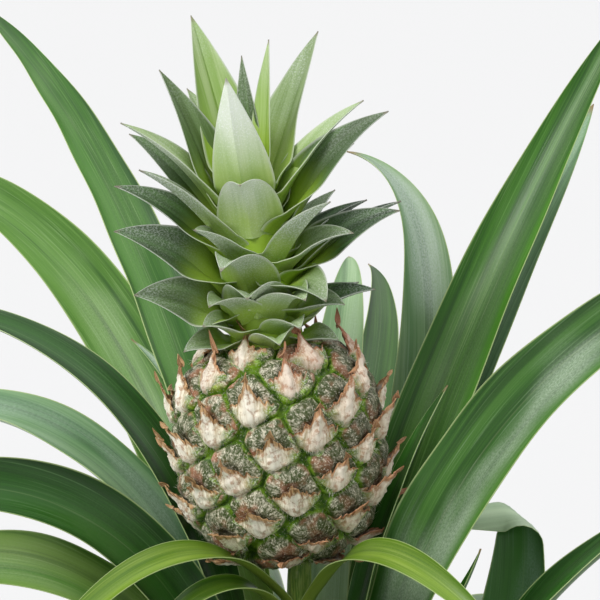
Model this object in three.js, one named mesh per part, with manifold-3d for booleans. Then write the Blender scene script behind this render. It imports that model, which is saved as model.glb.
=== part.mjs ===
// A pineapple plant in its pot: a plastic nursery pot filled with potting mix, a short stem that runs up
// into the fruit stalk, a rosette of long strap leaves, a small fruit covered with eyes and bracts, and its
// crown. Millimetres, +Z up. The origin is the centre of the pot's underside, and the plant's front is -Y.
import * as THREE from "three";
import { mergeVertices } from "three/addons/utils/BufferGeometryUtils.js";
import { ConvexGeometry } from "three/addons/geometries/ConvexGeometry.js";
import Module from "manifold-3d";

const wasm = await Module();
wasm.setup();

// ---------- driving dimensions ----------
const GAP = 0.3; // air between neighbouring pieces
const POT = {
  height: 135, baseRadius: 54, rimRadius: 75, lip: 3.5, rimHeight: 12, wall: 2.4, floor: 3, round: 1.2,
  drains: 6, drainRadius: 4.5, drainCircle: 36, drainSides: 12, sides: 40,
};
const SOIL = { top: 117, lump: 1.3, sides: 28, rings: [0.82, 0.6, 0.4], lumpFrom: 0.35, lumpTo: 0.9 };
const STEM = {
  foot: 70, footRadius: 15, collar: 117, collarRadius: 17, heart: 214, heartRadius: 8.5, sides: 20,
};
const STALK = { start: 228, radius: 4.7, top: 289.5 };
// Where the fruit sits on its stalk, and how far it leans to the left.
const FRUIT_AXIS = { x: -3, z: 290, lean: 6.6 };
const FRUIT = { radius: 40, height: 87, topPower: 3.2, bottomPower: 2.3 };
const EYES = {
  count: 66, divergence: -139.25, phase: 20, groove: 1.2,
  shoulder: 1.6, shoulderShare: 0.78, dome: 3, domeShare: 0.4, flatRadius: 17, flatBlend: 7,
};
const BRACT = {
  halfWidth: 6.5, sideDrop: 1, drop: 8.5, rise: 1.5, lift: 7.5, tipRise: 5, sink: 1, footSink: 2,
};
const CROWN = {
  baseRadius: 15, topRadius: 8.5, height: 70, apexRadius: 3, apexHeight: 86, sink: 3,
  sides: 12, leafPower: 1.2,
};
const LEAF = { thickness: 1.8, edgeShare: 0.35, cup: 0.45, clasp: 1.15, tipShare: 0.5, flare: 24 };
const LEAF_REACH = { flare: 0.2, roll: 0.45, clasp: 0.3 }; // shares of the blade that each effect reaches
const BROAD_OVER = 20; // blades wider than this are divided more finely
const BROAD = { stations: 11, across: 4 };
const NARROW = { stations: 9, across: 2 };
const CREASED = { stations: 21, across: 4 };
const CROWN_BLADE = { stations: 5, across: 2 };
const SPINE_STEPS = 60;

// Each leaf is [name, azimuth, height of its foot, length, width, rise at the foot, rise at the tip,
// how late it bends, sideways sweep, roll]: millimetres and degrees, azimuth from +X towards the back.
const ROSETTE = [
  ["leaf_left_1", 117, 222, 455, 29, 70, 15, 0.9, 0, -5],
  ["leaf_left_2", 118, 179, 455, 37, 81, 2, 0.8, 30, -45],
  ["leaf_left_3", 156, 196, 310, 26, 87, -24, 1.5, 8, -15],
  ["leaf_left_4", 168, 160, 330, 35, 90, -60, 1.8, 12, -20],
  ["leaf_left_5", 208, 171, 290, 35, 88, -30, 1.4, 6, -60],
  ["leaf_left_6", 212, 149, 295, 34, 82, -50, 1.7, 4, -50],
  ["leaf_left_back", 111, 200, 215, 14, 73, 30, 1, 34, -45],
  ["leaf_right_1", 32, 211, 340, 35, 88, 52, 0.5, 10, 25],
  ["leaf_right_2", -20, 165, 350, 39, 89, 12, 1.3, 20, 65],
  ["leaf_right_3", 35, 182, 330, 39, 84, 40, 1.1, 22, 28],
  ["leaf_right_4", -14, 146, 245, 34, 64, 16, 2.8, -5, 18],
  ["leaf_right_hooked", 44, 175, 310, 35, 72, 12, 8, 130, -20],
  ["leaf_right_back", 76, 203, 320, 24, 60, 5, 1.3, 25, 12],
  ["leaf_back", 76, 206, 250, 28, 79, 0, 2.4, 16, 0],
  ["leaf_right_folded", 2, 135, 242, 42, 45, 104, 1, -3, 50],
  ["leaf_right_slender", -13, 215, 157, 15, 84, 60, 1.3, 5, 42],
  ["leaf_right_spike", -50, 196, 162, 13, 50, 50, 1.1, -25, 70],
  ["leaf_front_1", 264, 141, 275, 31, 62, -45, 1.3, 0, -20],
  ["leaf_front_2", 254, 158, 260, 31, 62, -34, 1.4, 2, -30],
  ["leaf_front_3", 300, 156, 280, 31, 66, -50, 1, -10, 0],
  ["leaf_front_4", 275, 169, 260, 31, 66, -40, 1.1, 8, -20],
  ["leaf_front_5", 250, 184, 245, 31, 68, -50, 1.6, -5, -60],
  ["leaf_front_6", 290, 189, 230, 31, 62, -20, 0.8, 5, -10],
  ["leaf_back_1", 97, 144, 292, 34, 71, -60, 1.2, 0, -40],
  ["leaf_back_2", 60, 154, 255, 32, 70, -60, 1.2, 6, -30],
  ["leaf_back_3", 111, 170, 275, 32, 65, -60, 1.1, 10, 20],
];
const STALK_LEAVES = [
  ["stalk_leaf_left", 226, 270, 170, 14, 86, -58, 0.6, -8, -25],
  ["stalk_leaf_low_left", 230, 258, 100, 13, 85, -55, 0.8, -15, -20],
  ["stalk_leaf_right", -60, 271, 150, 14, 85, -45, 0.6, 30, 40],
];
// One leaf is creased: within a short reach of its length it folds over backwards and turns its face.
const FOLD = { leaf: "leaf_right_folded", at: 0.82, reach: 0.08, over: 90, twist: -85 };
// The lowest leaves are alike enough to follow a rule: each is three eighths of a turn past the one before.
const SKIRT = {
  count: 8, azimuth: 20, turn: 3 / 8, foot: 122, step: 1.5, length: 285, shorter: 20, lengths: 3,
  width: 33, rise: 54, droop: -36, power: 1.2, sway: 7,
};

// Crown leaves, in the frame of the fruit's axis, with feet measured from the crown's base:
// [azimuth, height of its foot, length, width, rise at the foot, rise at the tip, roll].
const CROWN_LEAVES = [
  [112, 62, 79, 27, 67, 59, 0], [58, 60, 82, 29, 50, 42, -10], [80, 58, 58, 14, 84, 80, 0],
  [40, 68, 54, 14, 78, 78, 0], [262, 57, 55, 26, 66, 86, 0], [158, 48, 70, 27, 76, 64, -20],
  [190, 50, 61, 20, 66, 31, -20], [166, 42, 61, 26, 66, 36, -35], [207, 40, 53, 20, 60, 30, -15],
  [182, 34, 57, 24, 57, 22, -35], [8, 54, 57, 20, 57, 27, 20], [356, 44, 67, 28, 58, 23, 40],
  [22, 42, 50, 26, 51, 31, 0], [322, 34, 38, 20, 52, 22, 0], [266, 45, 38, 28, 84, -5, 0],
  [228, 34, 30, 24, 57, 17, -20], [335, 30, 36, 22, 45, -5, 30], [0, 24, 54, 26, 45, 5, 45],
  [22, 32, 44, 22, 38, 13, 0], [14, 24, 57, 22, 41, 11, 0], [188, 22, 55, 28, 54, 14, -55],
  [193, 10, 43, 28, 43, 3, -60], [8, 10, 34, 22, 25, -5, 20], [312, 22, 29, 28, 29, -51, 10],
  [332, 12, 25, 22, 28, -17, 20], [254, 22, 44, 26, 64, -26, -10], [222, 6, 21, 22, 47, -8, -30],
  [298, 6, 19, 20, 46, -34, 0], [175, 8, 21, 18, 32, 2, 0], [200, 2, 22, 20, 23, -22, -30],
  [335, 2, 18, 18, 10, -20, 20], [280, 2, 20, 20, 40, -33, 0], [262, 14, 27, 30, 70, -30, 0],
  [300, 12, 27, 28, 62, -30, 10], [235, 12, 27, 26, 62, -22, -10],
];
// The crown's back is filled by a rule: the leaves climb while their azimuths step by the golden share.
const CROWN_BACK = {
  count: 12, first: 40, last: 140, golden: 0.618, foot: 4, topFoot: 52, length: 40, topLength: 62,
  width: 24, rise: 30, topRise: 68, bend: 25,
};

// ---------- colours ----------
const COLOURS = {
  pot: 0x2f2b28, soil: 0x3a2a1f, stem: 0x7d9a4a, fruit: 0x9a9370, crown: 0x4f7a45,
  leaf: 0x2f6b2a, stalkLeaf: 0x7fae3a,
};

// ---------- small helpers ----------
const radians = THREE.MathUtils.degToRad;
const lerp = THREE.MathUtils.lerp;
const vec = (x, y, z) => new THREE.Vector3(x, y, z);
const smooth = (x) => THREE.MathUtils.smoothstep(x, 0, 1);

function polar(radius, degrees, z) {
  const angle = radians(degrees);
  return vec(radius * Math.cos(angle), radius * Math.sin(angle), z);
}

function indexed(points, index) {
  const geometry = new THREE.BufferGeometry();
  geometry.setAttribute("position", new THREE.Float32BufferAttribute(points.flatMap((p) => p.toArray()), 3));
  geometry.setIndex(index);
  return geometry;
}

function solidOf(geometry) {
  const bare = new THREE.BufferGeometry();
  bare.setAttribute("position", geometry.getAttribute("position").clone());
  if (geometry.index) bare.setIndex(geometry.index.clone());
  const merged = mergeVertices(bare, 1e-4);
  const mesh = new wasm.Mesh({
    numProp: 3,
    vertProperties: new Float32Array(merged.attributes.position.array),
    triVerts: new Uint32Array(merged.index.array),
  });
  return new wasm.Manifold(mesh);
}

function geometryOf(solid) {
  const mesh = solid.getMesh();
  const geometry = new THREE.BufferGeometry();
  geometry.setAttribute("position", new THREE.BufferAttribute(mesh.vertProperties, 3));
  geometry.setIndex(new THREE.BufferAttribute(mesh.triVerts, 1));
  geometry.computeVertexNormals();
  return geometry;
}

// The largest body of a solid: sealed hollows inside it are filled and loose scraps dropped.
function largest(solid) {
  return solid.decompose().reduce((best, body) => (body.volume() > best.volume() ? body : best));
}

function lathe(profile, sides) {
  const points = profile.map(([radius, z]) => new THREE.Vector2(radius, z));
  return new THREE.LatheGeometry(points, sides).rotateX(Math.PI / 2);
}

function named(name, geometry, colour, roughness) {
  const material = new THREE.MeshStandardMaterial({ color: colour, roughness, metalness: 0 });
  const mesh = new THREE.Mesh(geometry, material);
  mesh.name = name;
  return mesh;
}

// ---------- pot, potting mix and stem ----------
const potSlope = (POT.rimRadius - POT.lip - POT.baseRadius) / POT.height;
const potOuter = (z) => POT.baseRadius + potSlope * z;
const potInner = (z) => potOuter(z) - POT.wall;

function stemRadius(z) {
  const { foot, footRadius, collar, collarRadius, heart, heartRadius } = STEM;
  if (z < collar) return lerp(footRadius, collarRadius, (z - foot) / (collar - foot));
  if (z < heart) return lerp(collarRadius, heartRadius, (z - collar) / (heart - collar));
  return lerp(heartRadius, STALK.radius, smooth((z - heart) / (STALK.start - heart)));
}

function makePot() {
  const { height, rimRadius, rimHeight, wall, floor, round, sides } = POT;
  const rimFoot = height - rimHeight;
  const profile = [
    [0, 0], [potOuter(0) - round, 0], [potOuter(round), round],
    [potOuter(rimFoot), rimFoot], [rimRadius - round, rimFoot], [rimRadius, rimFoot + round],
    [rimRadius, height - round], [rimRadius - round, height], [rimRadius - wall, height],
    [potInner(height) + round, height - round], [potInner(rimFoot), rimFoot],
    [potInner(floor), floor], [0, floor],
  ];
  let pot = solidOf(lathe(profile, sides));
  const { drains, drainRadius, drainCircle, drainSides } = POT;
  for (let i = 0; i < drains; i += 1) {
    const drain = new THREE.CylinderGeometry(drainRadius, drainRadius, 4 * floor, drainSides);
    const place = polar(drainCircle, (360 * i) / drains, 0);
    pot = pot.subtract(solidOf(drain.rotateX(Math.PI / 2).translate(place.x, place.y, place.z)));
  }
  return named("pot", geometryOf(pot), COLOURS.pot, 0.6);
}

function makeSoil() {
  const bottom = POT.floor + GAP;
  const top = SOIL.top;
  const wallRadius = potInner(top) - GAP;
  const holeFoot = STEM.foot - GAP;
  const rings = SOIL.rings.map((share) => [wallRadius * share, top]);
  const profile = [
    [0, bottom], [potInner(bottom) - GAP, bottom], [wallRadius, top], ...rings,
    [stemRadius(top) + GAP, top], [STEM.footRadius + GAP, holeFoot], [0, holeFoot],
  ];
  const geometry = lathe(profile, SOIL.sides);
  const position = geometry.getAttribute("position");
  const inner = wallRadius * SOIL.lumpFrom;
  const outer = wallRadius * SOIL.lumpTo;
  for (let i = 0; i < position.count; i += 1) {
    const x = position.getX(i);
    const y = position.getY(i);
    const radius = Math.hypot(x, y);
    if (position.getZ(i) > top - 0.01 && radius > inner && radius < outer) {
      const wave = Math.sin(x * 0.31) * Math.cos(y * 0.27) + 0.5 * Math.sin(x * 0.11 + y * 0.47);
      position.setZ(i, top + SOIL.lump * wave);
    }
  }
  return named("soil", geometryOf(solidOf(geometry)), COLOURS.soil, 0.95);
}

function makeStem() {
  const taper = (STEM.heart + STALK.start) / 2;
  const levels = [STEM.foot, STEM.collar, STEM.heart, taper, STALK.start, STALK.top];
  const profile = [[0, STEM.foot], ...levels.map((z) => [stemRadius(z), z]), [0, STALK.top]];
  return named("stem_and_stalk", geometryOf(solidOf(lathe(profile, STEM.sides))), COLOURS.stem, 0.5);
}

// ---------- leaf blades ----------
// Shares of the full width along the blade: a strap keeps it for longer than a lance-shaped leaf does.
const FOOT_SHARE = 0.3; // the blade widens over this share of its length
const STRAP = { foot: 0.5, taperFrom: 0.35, power: 2.2, fullness: 0.9 };
const LANCE = { foot: 0.8, taperFrom: 0.2, power: 1.6, fullness: 1 };

function widthShare({ foot, taperFrom, power, fullness }, s) {
  const taper = Math.max(0, (s - taperFrom) / (1 - taperFrom));
  return lerp(foot, 1, smooth(s / FOOT_SHARE)) * (1 - taper ** power) ** fullness;
}

// The midrib bends, sweeps sideways and rolls about itself.
function spineOf(shape, footRadius, flare) {
  const { azimuth, foot, length, rise, tipRise, power, sweep, roll, folded } = shape;
  const spine = [];
  const at = polar(footRadius, azimuth, foot);
  let before = null;
  for (let i = 0; i <= SPINE_STEPS; i += 1) {
    const s = i / SPINE_STEPS;
    const fold = folded ? smooth(0.5 + (s - FOLD.at) / FOLD.reach) : 0;
    const bent = rise + (tipRise - rise) * s ** power + FOLD.over * fold;
    const up = radians(bent - flare * (1 - smooth(s / LEAF_REACH.flare)));
    const turn = radians(azimuth + sweep * s ** 3);
    const ahead = vec(Math.cos(up) * Math.cos(turn), Math.cos(up) * Math.sin(turn), Math.sin(up));
    if (before) at.addScaledVector(ahead.clone().add(before), length / SPINE_STEPS / 2);
    before = ahead;
    const side = vec(-Math.sin(turn), Math.cos(turn), 0);
    const face = vec(-Math.sin(up) * Math.cos(turn), -Math.sin(up) * Math.sin(turn), Math.cos(up));
    const angle = radians(roll * smooth(s / LEAF_REACH.roll) + FOLD.twist * fold);
    spine.push({
      at: at.clone(),
      side: side.clone().multiplyScalar(Math.cos(angle)).addScaledVector(face, Math.sin(angle)),
      face: face.clone().multiplyScalar(Math.cos(angle)).addScaledVector(side, -Math.sin(angle)),
    });
  }
  return spine;
}

// A closed blade along its midrib. Its section is an arc that opens towards the plant's axis: it clasps the
// stem at the foot and is a shallow channel further out. Its edges are thin.
function blade(shape, build) {
  const { stations, across, thickness, outline, footRadius, clasps, flare } = build;
  const spine = spineOf(shape, footRadius, flare);
  const points = [];
  const around = across * 2;
  for (let i = 0; i < stations; i += 1) {
    const step = Math.round(SPINE_STEPS * (i / stations) ** 0.9);
    const s = step / SPINE_STEPS;
    const half = (shape.width * widthShare(outline, s)) / 2;
    const grip = clasps ? Math.min(LEAF.clasp, half / footRadius) * (1 - smooth(s / LEAF_REACH.clasp)) : 0;
    const bend = Math.max(LEAF.cup * 2 * (0.6 + 0.4 * s), grip);
    const arc = half / bend;
    const middle = thickness * (1 - (1 - LEAF.tipShare) * s);
    const { at, side, face } = spine[step];
    for (let k = 0; k < around; k += 1) {
      const u = k <= across ? (2 * k) / across - 1 : 3 - (2 * k) / across;
      const sign = k === 0 || k === across ? 0 : Math.sign(across - k);
      const depth = 0.5 * sign * middle * (1 - (1 - LEAF.edgeShare) * u * u);
      const out = (arc - depth) * Math.sin(u * bend);
      const lift = arc - (arc - depth) * Math.cos(u * bend);
      points.push(at.clone().addScaledVector(side, out).addScaledVector(face, lift));
    }
  }
  const tip = points.length;
  points.push(spine[SPINE_STEPS].at);
  const index = [];
  for (let i = 0; i + 1 < stations; i += 1) {
    for (let k = 0; k < around; k += 1) {
      const a = i * around + k;
      const b = i * around + ((k + 1) % around);
      // Both sides of the blade are split along the same diagonals, so a twisted blade keeps its thickness.
      if (k < across) index.push(a, b + around, b, a, a + around, b + around);
      else index.push(a, a + around, b, a + around, b + around, b);
    }
  }
  const last = (stations - 1) * around;
  for (let k = 0; k < around; k += 1) index.push(last + k, tip, last + ((k + 1) % around));
  for (let k = 0; k < across; k += 1) {
    const under = around - k - 1;
    if (under !== k + 1) index.push(k, k + 1, under);
    if (k > 0) index.push(k, under, under + 1);
  }
  return indexed(points, index);
}

function shapeOf([name, azimuth, foot, length, width, rise, tipRise, power, sweep, roll]) {
  return { azimuth, foot, length, width, rise, tipRise, power, sweep, roll, folded: name === FOLD.leaf };
}

function divisionOf(shape) {
  if (shape.folded) return CREASED;
  return shape.width > BROAD_OVER ? BROAD : NARROW;
}

function makeLeaf(name, shape, colour) {
  const build = {
    ...divisionOf(shape),
    thickness: LEAF.thickness,
    outline: STRAP,
    footRadius: stemRadius(shape.foot) + GAP + LEAF.thickness / 2,
    clasps: true,
    flare: LEAF.flare,
  };
  return named(name, blade(shape, build), colour, 0.45);
}

function skirtLeaves() {
  const leaves = [];
  for (let i = 0; i < SKIRT.count; i += 1) {
    const shape = {
      azimuth: SKIRT.azimuth + 360 * SKIRT.turn * i,
      foot: SKIRT.foot + SKIRT.step * i,
      length: SKIRT.length - SKIRT.shorter * (i % SKIRT.lengths),
      width: SKIRT.width,
      rise: SKIRT.rise,
      tipRise: SKIRT.droop,
      power: SKIRT.power,
      sweep: i % 2 ? SKIRT.sway : -SKIRT.sway,
      roll: 0,
    };
    leaves.push(makeLeaf(`leaf_skirt_${i + 1}`, shape, COLOURS.leaf));
  }
  return leaves;
}

// ---------- fruit, in the frame of its axis with its underside at zero ----------
const halfHeight = FRUIT.height / 2;

function barrelPoint(angle) {
  const rise = Math.cos(angle);
  const power = 2 / (rise > 0 ? FRUIT.topPower : FRUIT.bottomPower);
  return [FRUIT.radius * Math.sin(angle) ** power, Math.sign(rise) * halfHeight * Math.abs(rise) ** power];
}

// The point of the barrel that lies along a direction from its middle.
function onBarrel(direction) {
  const power = direction.z > 0 ? FRUIT.topPower : FRUIT.bottomPower;
  const radial = (Math.hypot(direction.x, direction.y) / FRUIT.radius) ** power;
  const upright = (Math.abs(direction.z) / halfHeight) ** power;
  return direction.clone().multiplyScalar((radial + upright) ** (-1 / power));
}

function barrelNormal(point) {
  const power = point.z > 0 ? FRUIT.topPower : FRUIT.bottomPower;
  const radius = Math.hypot(point.x, point.y) || 1e-6;
  const radial = (radius / FRUIT.radius) ** (power - 1) / FRUIT.radius;
  const upright = Math.sign(point.z) * (Math.abs(point.z) / halfHeight) ** (power - 1) / halfHeight;
  return vec((point.x / radius) * radial, (point.y / radius) * radial, upright).normalize();
}

// Eyes spiral up the barrel, each with the same share of its area.
function eyeCentres() {
  const samples = 400;
  const profile = [];
  const area = [0];
  for (let i = 0; i <= samples; i += 1) profile.push(barrelPoint(Math.PI * (1 - i / samples)));
  for (let i = 1; i <= samples; i += 1) {
    const [r0, z0] = profile[i - 1];
    const [r1, z1] = profile[i];
    area.push(area[i - 1] + ((r0 + r1) / 2) * Math.hypot(r1 - r0, z1 - z0));
  }
  const centres = [];
  let at = 1;
  for (let eye = 0; eye < EYES.count; eye += 1) {
    const wanted = (area[samples] * (eye + 0.5)) / EYES.count;
    while (area[at] < wanted) at += 1;
    const share = (wanted - area[at - 1]) / (area[at] - area[at - 1]);
    const radius = lerp(profile[at - 1][0], profile[at][0], share);
    const z = lerp(profile[at - 1][1], profile[at][1], share);
    centres.push(polar(radius, EYES.phase + EYES.divergence * eye, z));
  }
  return centres;
}

// Each eye's cell is bounded by the middles of the triangles that join it to its neighbours.
function eyeCells(centres) {
  const hull = new ConvexGeometry(centres).getAttribute("position");
  const cells = centres.map(() => []);
  const corners = [];
  for (let i = 0; i < hull.count; i += 3) {
    const triangle = [0, 1, 2].map((k) => vec(hull.getX(i + k), hull.getY(i + k), hull.getZ(i + k)));
    const middle = triangle[0].clone().add(triangle[1]).add(triangle[2]);
    const corner = corners.push(onBarrel(middle)) - 1;
    for (const point of triangle) {
      const eye = centres.findIndex((centre) => centre.distanceTo(point) < 1e-3);
      cells[eye].push(corner);
    }
  }
  cells.forEach((cell, eye) => {
    const normal = barrelNormal(centres[eye]);
    const right = vec(0, 0, 1).cross(normal).normalize();
    const up = normal.clone().cross(right);
    const angle = (corner) => {
      const spoke = corners[corner].clone().sub(centres[eye]);
      return Math.atan2(spoke.dot(up), spoke.dot(right));
    };
    cell.sort((a, b) => angle(a) - angle(b));
  });
  return { cells, corners };
}

// The relief fades out towards the poles, where the stalk and the crown meet the fruit.
function reliefShare(point) {
  return smooth((Math.hypot(point.x, point.y) - EYES.flatRadius + EYES.flatBlend) / EYES.flatBlend);
}

// The fruit is cut clear of the crown's lowest leaves, which spread over its shoulder.
function makeFruit() {
  const centres = eyeCentres();
  const { cells, corners } = eyeCells(centres);
  const points = corners.map((corner) => {
    const depth = EYES.groove * reliefShare(corner);
    return corner.clone().addScaledVector(barrelNormal(corner), -depth);
  });
  const index = [];
  cells.forEach((cell, eye) => {
    const centre = centres[eye];
    const raised = (corner, share, height) => {
      const place = onBarrel(centre.clone().lerp(corners[corner], share));
      return place.addScaledVector(barrelNormal(place), height * reliefShare(place));
    };
    const shoulder = points.length;
    cell.forEach((corner) => points.push(raised(corner, EYES.shoulderShare, EYES.shoulder)));
    cell.forEach((corner) => points.push(raised(corner, EYES.domeShare, EYES.dome)));
    const middle = points.push(raised(cell[0], 0, EYES.dome)) - 1;
    cell.forEach((corner, k) => {
      const next = (k + 1) % cell.length;
      const outer = shoulder + k;
      const outerNext = shoulder + next;
      const inner = outer + cell.length;
      const innerNext = outerNext + cell.length;
      index.push(corner, cell[next], outerNext, corner, outerNext, outer);
      index.push(outer, outerNext, innerNext, outer, innerNext, inner);
      index.push(inner, innerNext, middle);
    });
  });
  const bracts = centres.filter((centre) => reliefShare(centre) > 0.99).map(makeBract);
  const body = wasm.Manifold.union([solidOf(indexed(points, index)), ...bracts]);
  const room = makeCrown(GAP).translate([0, 0, FRUIT.height + GAP]);
  return largest(body.translate([0, 0, halfHeight]).subtract(room));
}

// A bract is a tent: its keel climbs from the low corner of the eye to a tip that stands out over the middle.
function makeBract(centre) {
  const normal = barrelNormal(centre);
  const right = vec(0, 0, 1).cross(normal).normalize();
  const up = normal.clone().cross(right);
  const place = (across, along, out) =>
    centre.clone().addScaledVector(right, across).addScaledVector(up, along).addScaledVector(normal, out);
  const { halfWidth, sideDrop, drop, rise, lift, tipRise, sink, footSink } = BRACT;
  const points = [
    place(0, -drop, -footSink), place(halfWidth, -sideDrop, -sink), place(0, rise, -sink),
    place(-halfWidth, -sideDrop, -sink), place(0, tipRise, lift),
  ];
  return solidOf(indexed(points, [0, 1, 4, 1, 2, 4, 2, 3, 4, 3, 0, 4, 0, 2, 1, 0, 3, 2]));
}

// ---------- crown, in the same frame with its base at zero ----------
function crownCoreRadius(z) {
  if (z < CROWN.height) return lerp(CROWN.baseRadius, CROWN.topRadius, z / CROWN.height);
  return lerp(CROWN.topRadius, CROWN.apexRadius, (z - CROWN.height) / (CROWN.apexHeight - CROWN.height));
}

function crownLeaf([azimuth, foot, length, width, rise, tipRise, roll], grow) {
  const size = { foot, length, width: width + 2 * grow };
  const shape = { ...size, azimuth, rise, tipRise, power: CROWN.leafPower, sweep: 0, roll };
  const build = {
    ...CROWN_BLADE,
    thickness: LEAF.thickness + 2 * grow,
    outline: LANCE,
    footRadius: crownCoreRadius(foot) - CROWN.sink,
    clasps: false,
    flare: 0,
  };
  return solidOf(blade(shape, build));
}

function crownBackRows() {
  const { count, first, last, golden, foot, topFoot, length, topLength } = CROWN_BACK;
  const { width, rise, topRise, bend } = CROWN_BACK;
  const rows = [];
  for (let i = 0; i < count; i += 1) {
    const share = i / (count - 1);
    const azimuth = first + (last - first) * ((i * golden) % 1);
    const up = lerp(rise, topRise, share);
    rows.push([azimuth, lerp(foot, topFoot, share), lerp(length, topLength, share), width, up, up - bend, 0]);
  }
  return rows;
}

function makeCrown(grow = 0) {
  const { baseRadius, topRadius, height, apexRadius, apexHeight, sides } = CROWN;
  const profile = [
    [0, -grow], [baseRadius + grow, -grow], [topRadius + grow, height],
    [apexRadius + grow, apexHeight + grow], [0, apexHeight + grow],
  ];
  const leaves = [...CROWN_LEAVES, ...crownBackRows()].map((row) => crownLeaf(row, grow));
  return largest(wasm.Manifold.union([solidOf(lathe(profile, sides)), ...leaves]));
}

// ---------- the whole plant ----------
const plant = new THREE.Group();
plant.add(makePot(), makeSoil(), makeStem());
for (const row of ROSETTE) plant.add(makeLeaf(row[0], shapeOf(row), COLOURS.leaf));
for (const row of STALK_LEAVES) plant.add(makeLeaf(row[0], shapeOf(row), COLOURS.stalkLeaf));
plant.add(...skirtLeaves());

const head = new THREE.Group();
head.position.set(FRUIT_AXIS.x, 0, FRUIT_AXIS.z);
head.rotation.y = -radians(FRUIT_AXIS.lean);
const crown = named("crown", geometryOf(makeCrown()), COLOURS.crown, 0.5);
crown.position.z = FRUIT.height + GAP;
head.add(named("fruit", geometryOf(makeFruit()), COLOURS.fruit, 0.6), crown);
plant.add(head);

export default plant;
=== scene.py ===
import math

import bmesh
import bpy
import numpy as np
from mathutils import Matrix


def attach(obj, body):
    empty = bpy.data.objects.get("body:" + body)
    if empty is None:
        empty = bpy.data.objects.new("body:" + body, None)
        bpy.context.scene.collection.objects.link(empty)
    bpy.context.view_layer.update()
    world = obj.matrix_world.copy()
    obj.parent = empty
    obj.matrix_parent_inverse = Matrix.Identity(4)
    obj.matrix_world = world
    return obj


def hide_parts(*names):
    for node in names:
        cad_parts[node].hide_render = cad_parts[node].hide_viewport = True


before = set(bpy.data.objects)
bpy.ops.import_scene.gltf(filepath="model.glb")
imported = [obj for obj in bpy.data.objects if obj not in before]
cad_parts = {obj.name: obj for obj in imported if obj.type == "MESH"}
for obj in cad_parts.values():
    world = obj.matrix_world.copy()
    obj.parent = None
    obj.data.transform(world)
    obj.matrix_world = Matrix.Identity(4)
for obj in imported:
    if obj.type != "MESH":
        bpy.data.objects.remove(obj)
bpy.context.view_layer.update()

MM = 0.001

# ---------- sizes, as in the CAD model ----------
GAP = 0.3
POT = dict(height=135, base_radius=54, rim_radius=75, lip=3.5, rim_height=12, wall=2.4, floor=3)
DRAINS = dict(count=6, radius=4.5, circle=36)
SOIL_TOP = 117
STEM = dict(foot=70, foot_radius=15, collar=117, collar_radius=17, heart=214, heart_radius=8.5)
STALK = dict(start=228, radius=4.7, top=289.5)
FRUIT_AXIS = dict(x=-3, z=290, lean=6.6)
FRUIT = dict(radius=40, height=87, top_power=3.2, bottom_power=2.3)
EYES = dict(count=66, divergence=-139.25, phase=20, flat_radius=17, flat_blend=7)
CROWN = dict(base_radius=15, top_radius=8.5, height=70, apex_radius=3, apex_height=86, leaf_power=1.2)
LEAF = dict(cup=0.45, clasp=1.15, flare=24, flare_reach=0.2, roll_reach=0.45, clasp_reach=0.3,
            widen_reach=0.3)
STRAP = dict(foot=0.5, taper_from=0.35, power=2.2, fullness=0.9)
# One leaf is creased: within a short reach of its length it folds over backwards and turns its face.
FOLD = dict(leaf="leaf_right_folded", at=0.82, reach=0.08, over=90, twist=-85)
SHEATH = dict(foot=1.0, taper_from=0.2, power=1.6, fullness=1)

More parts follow.
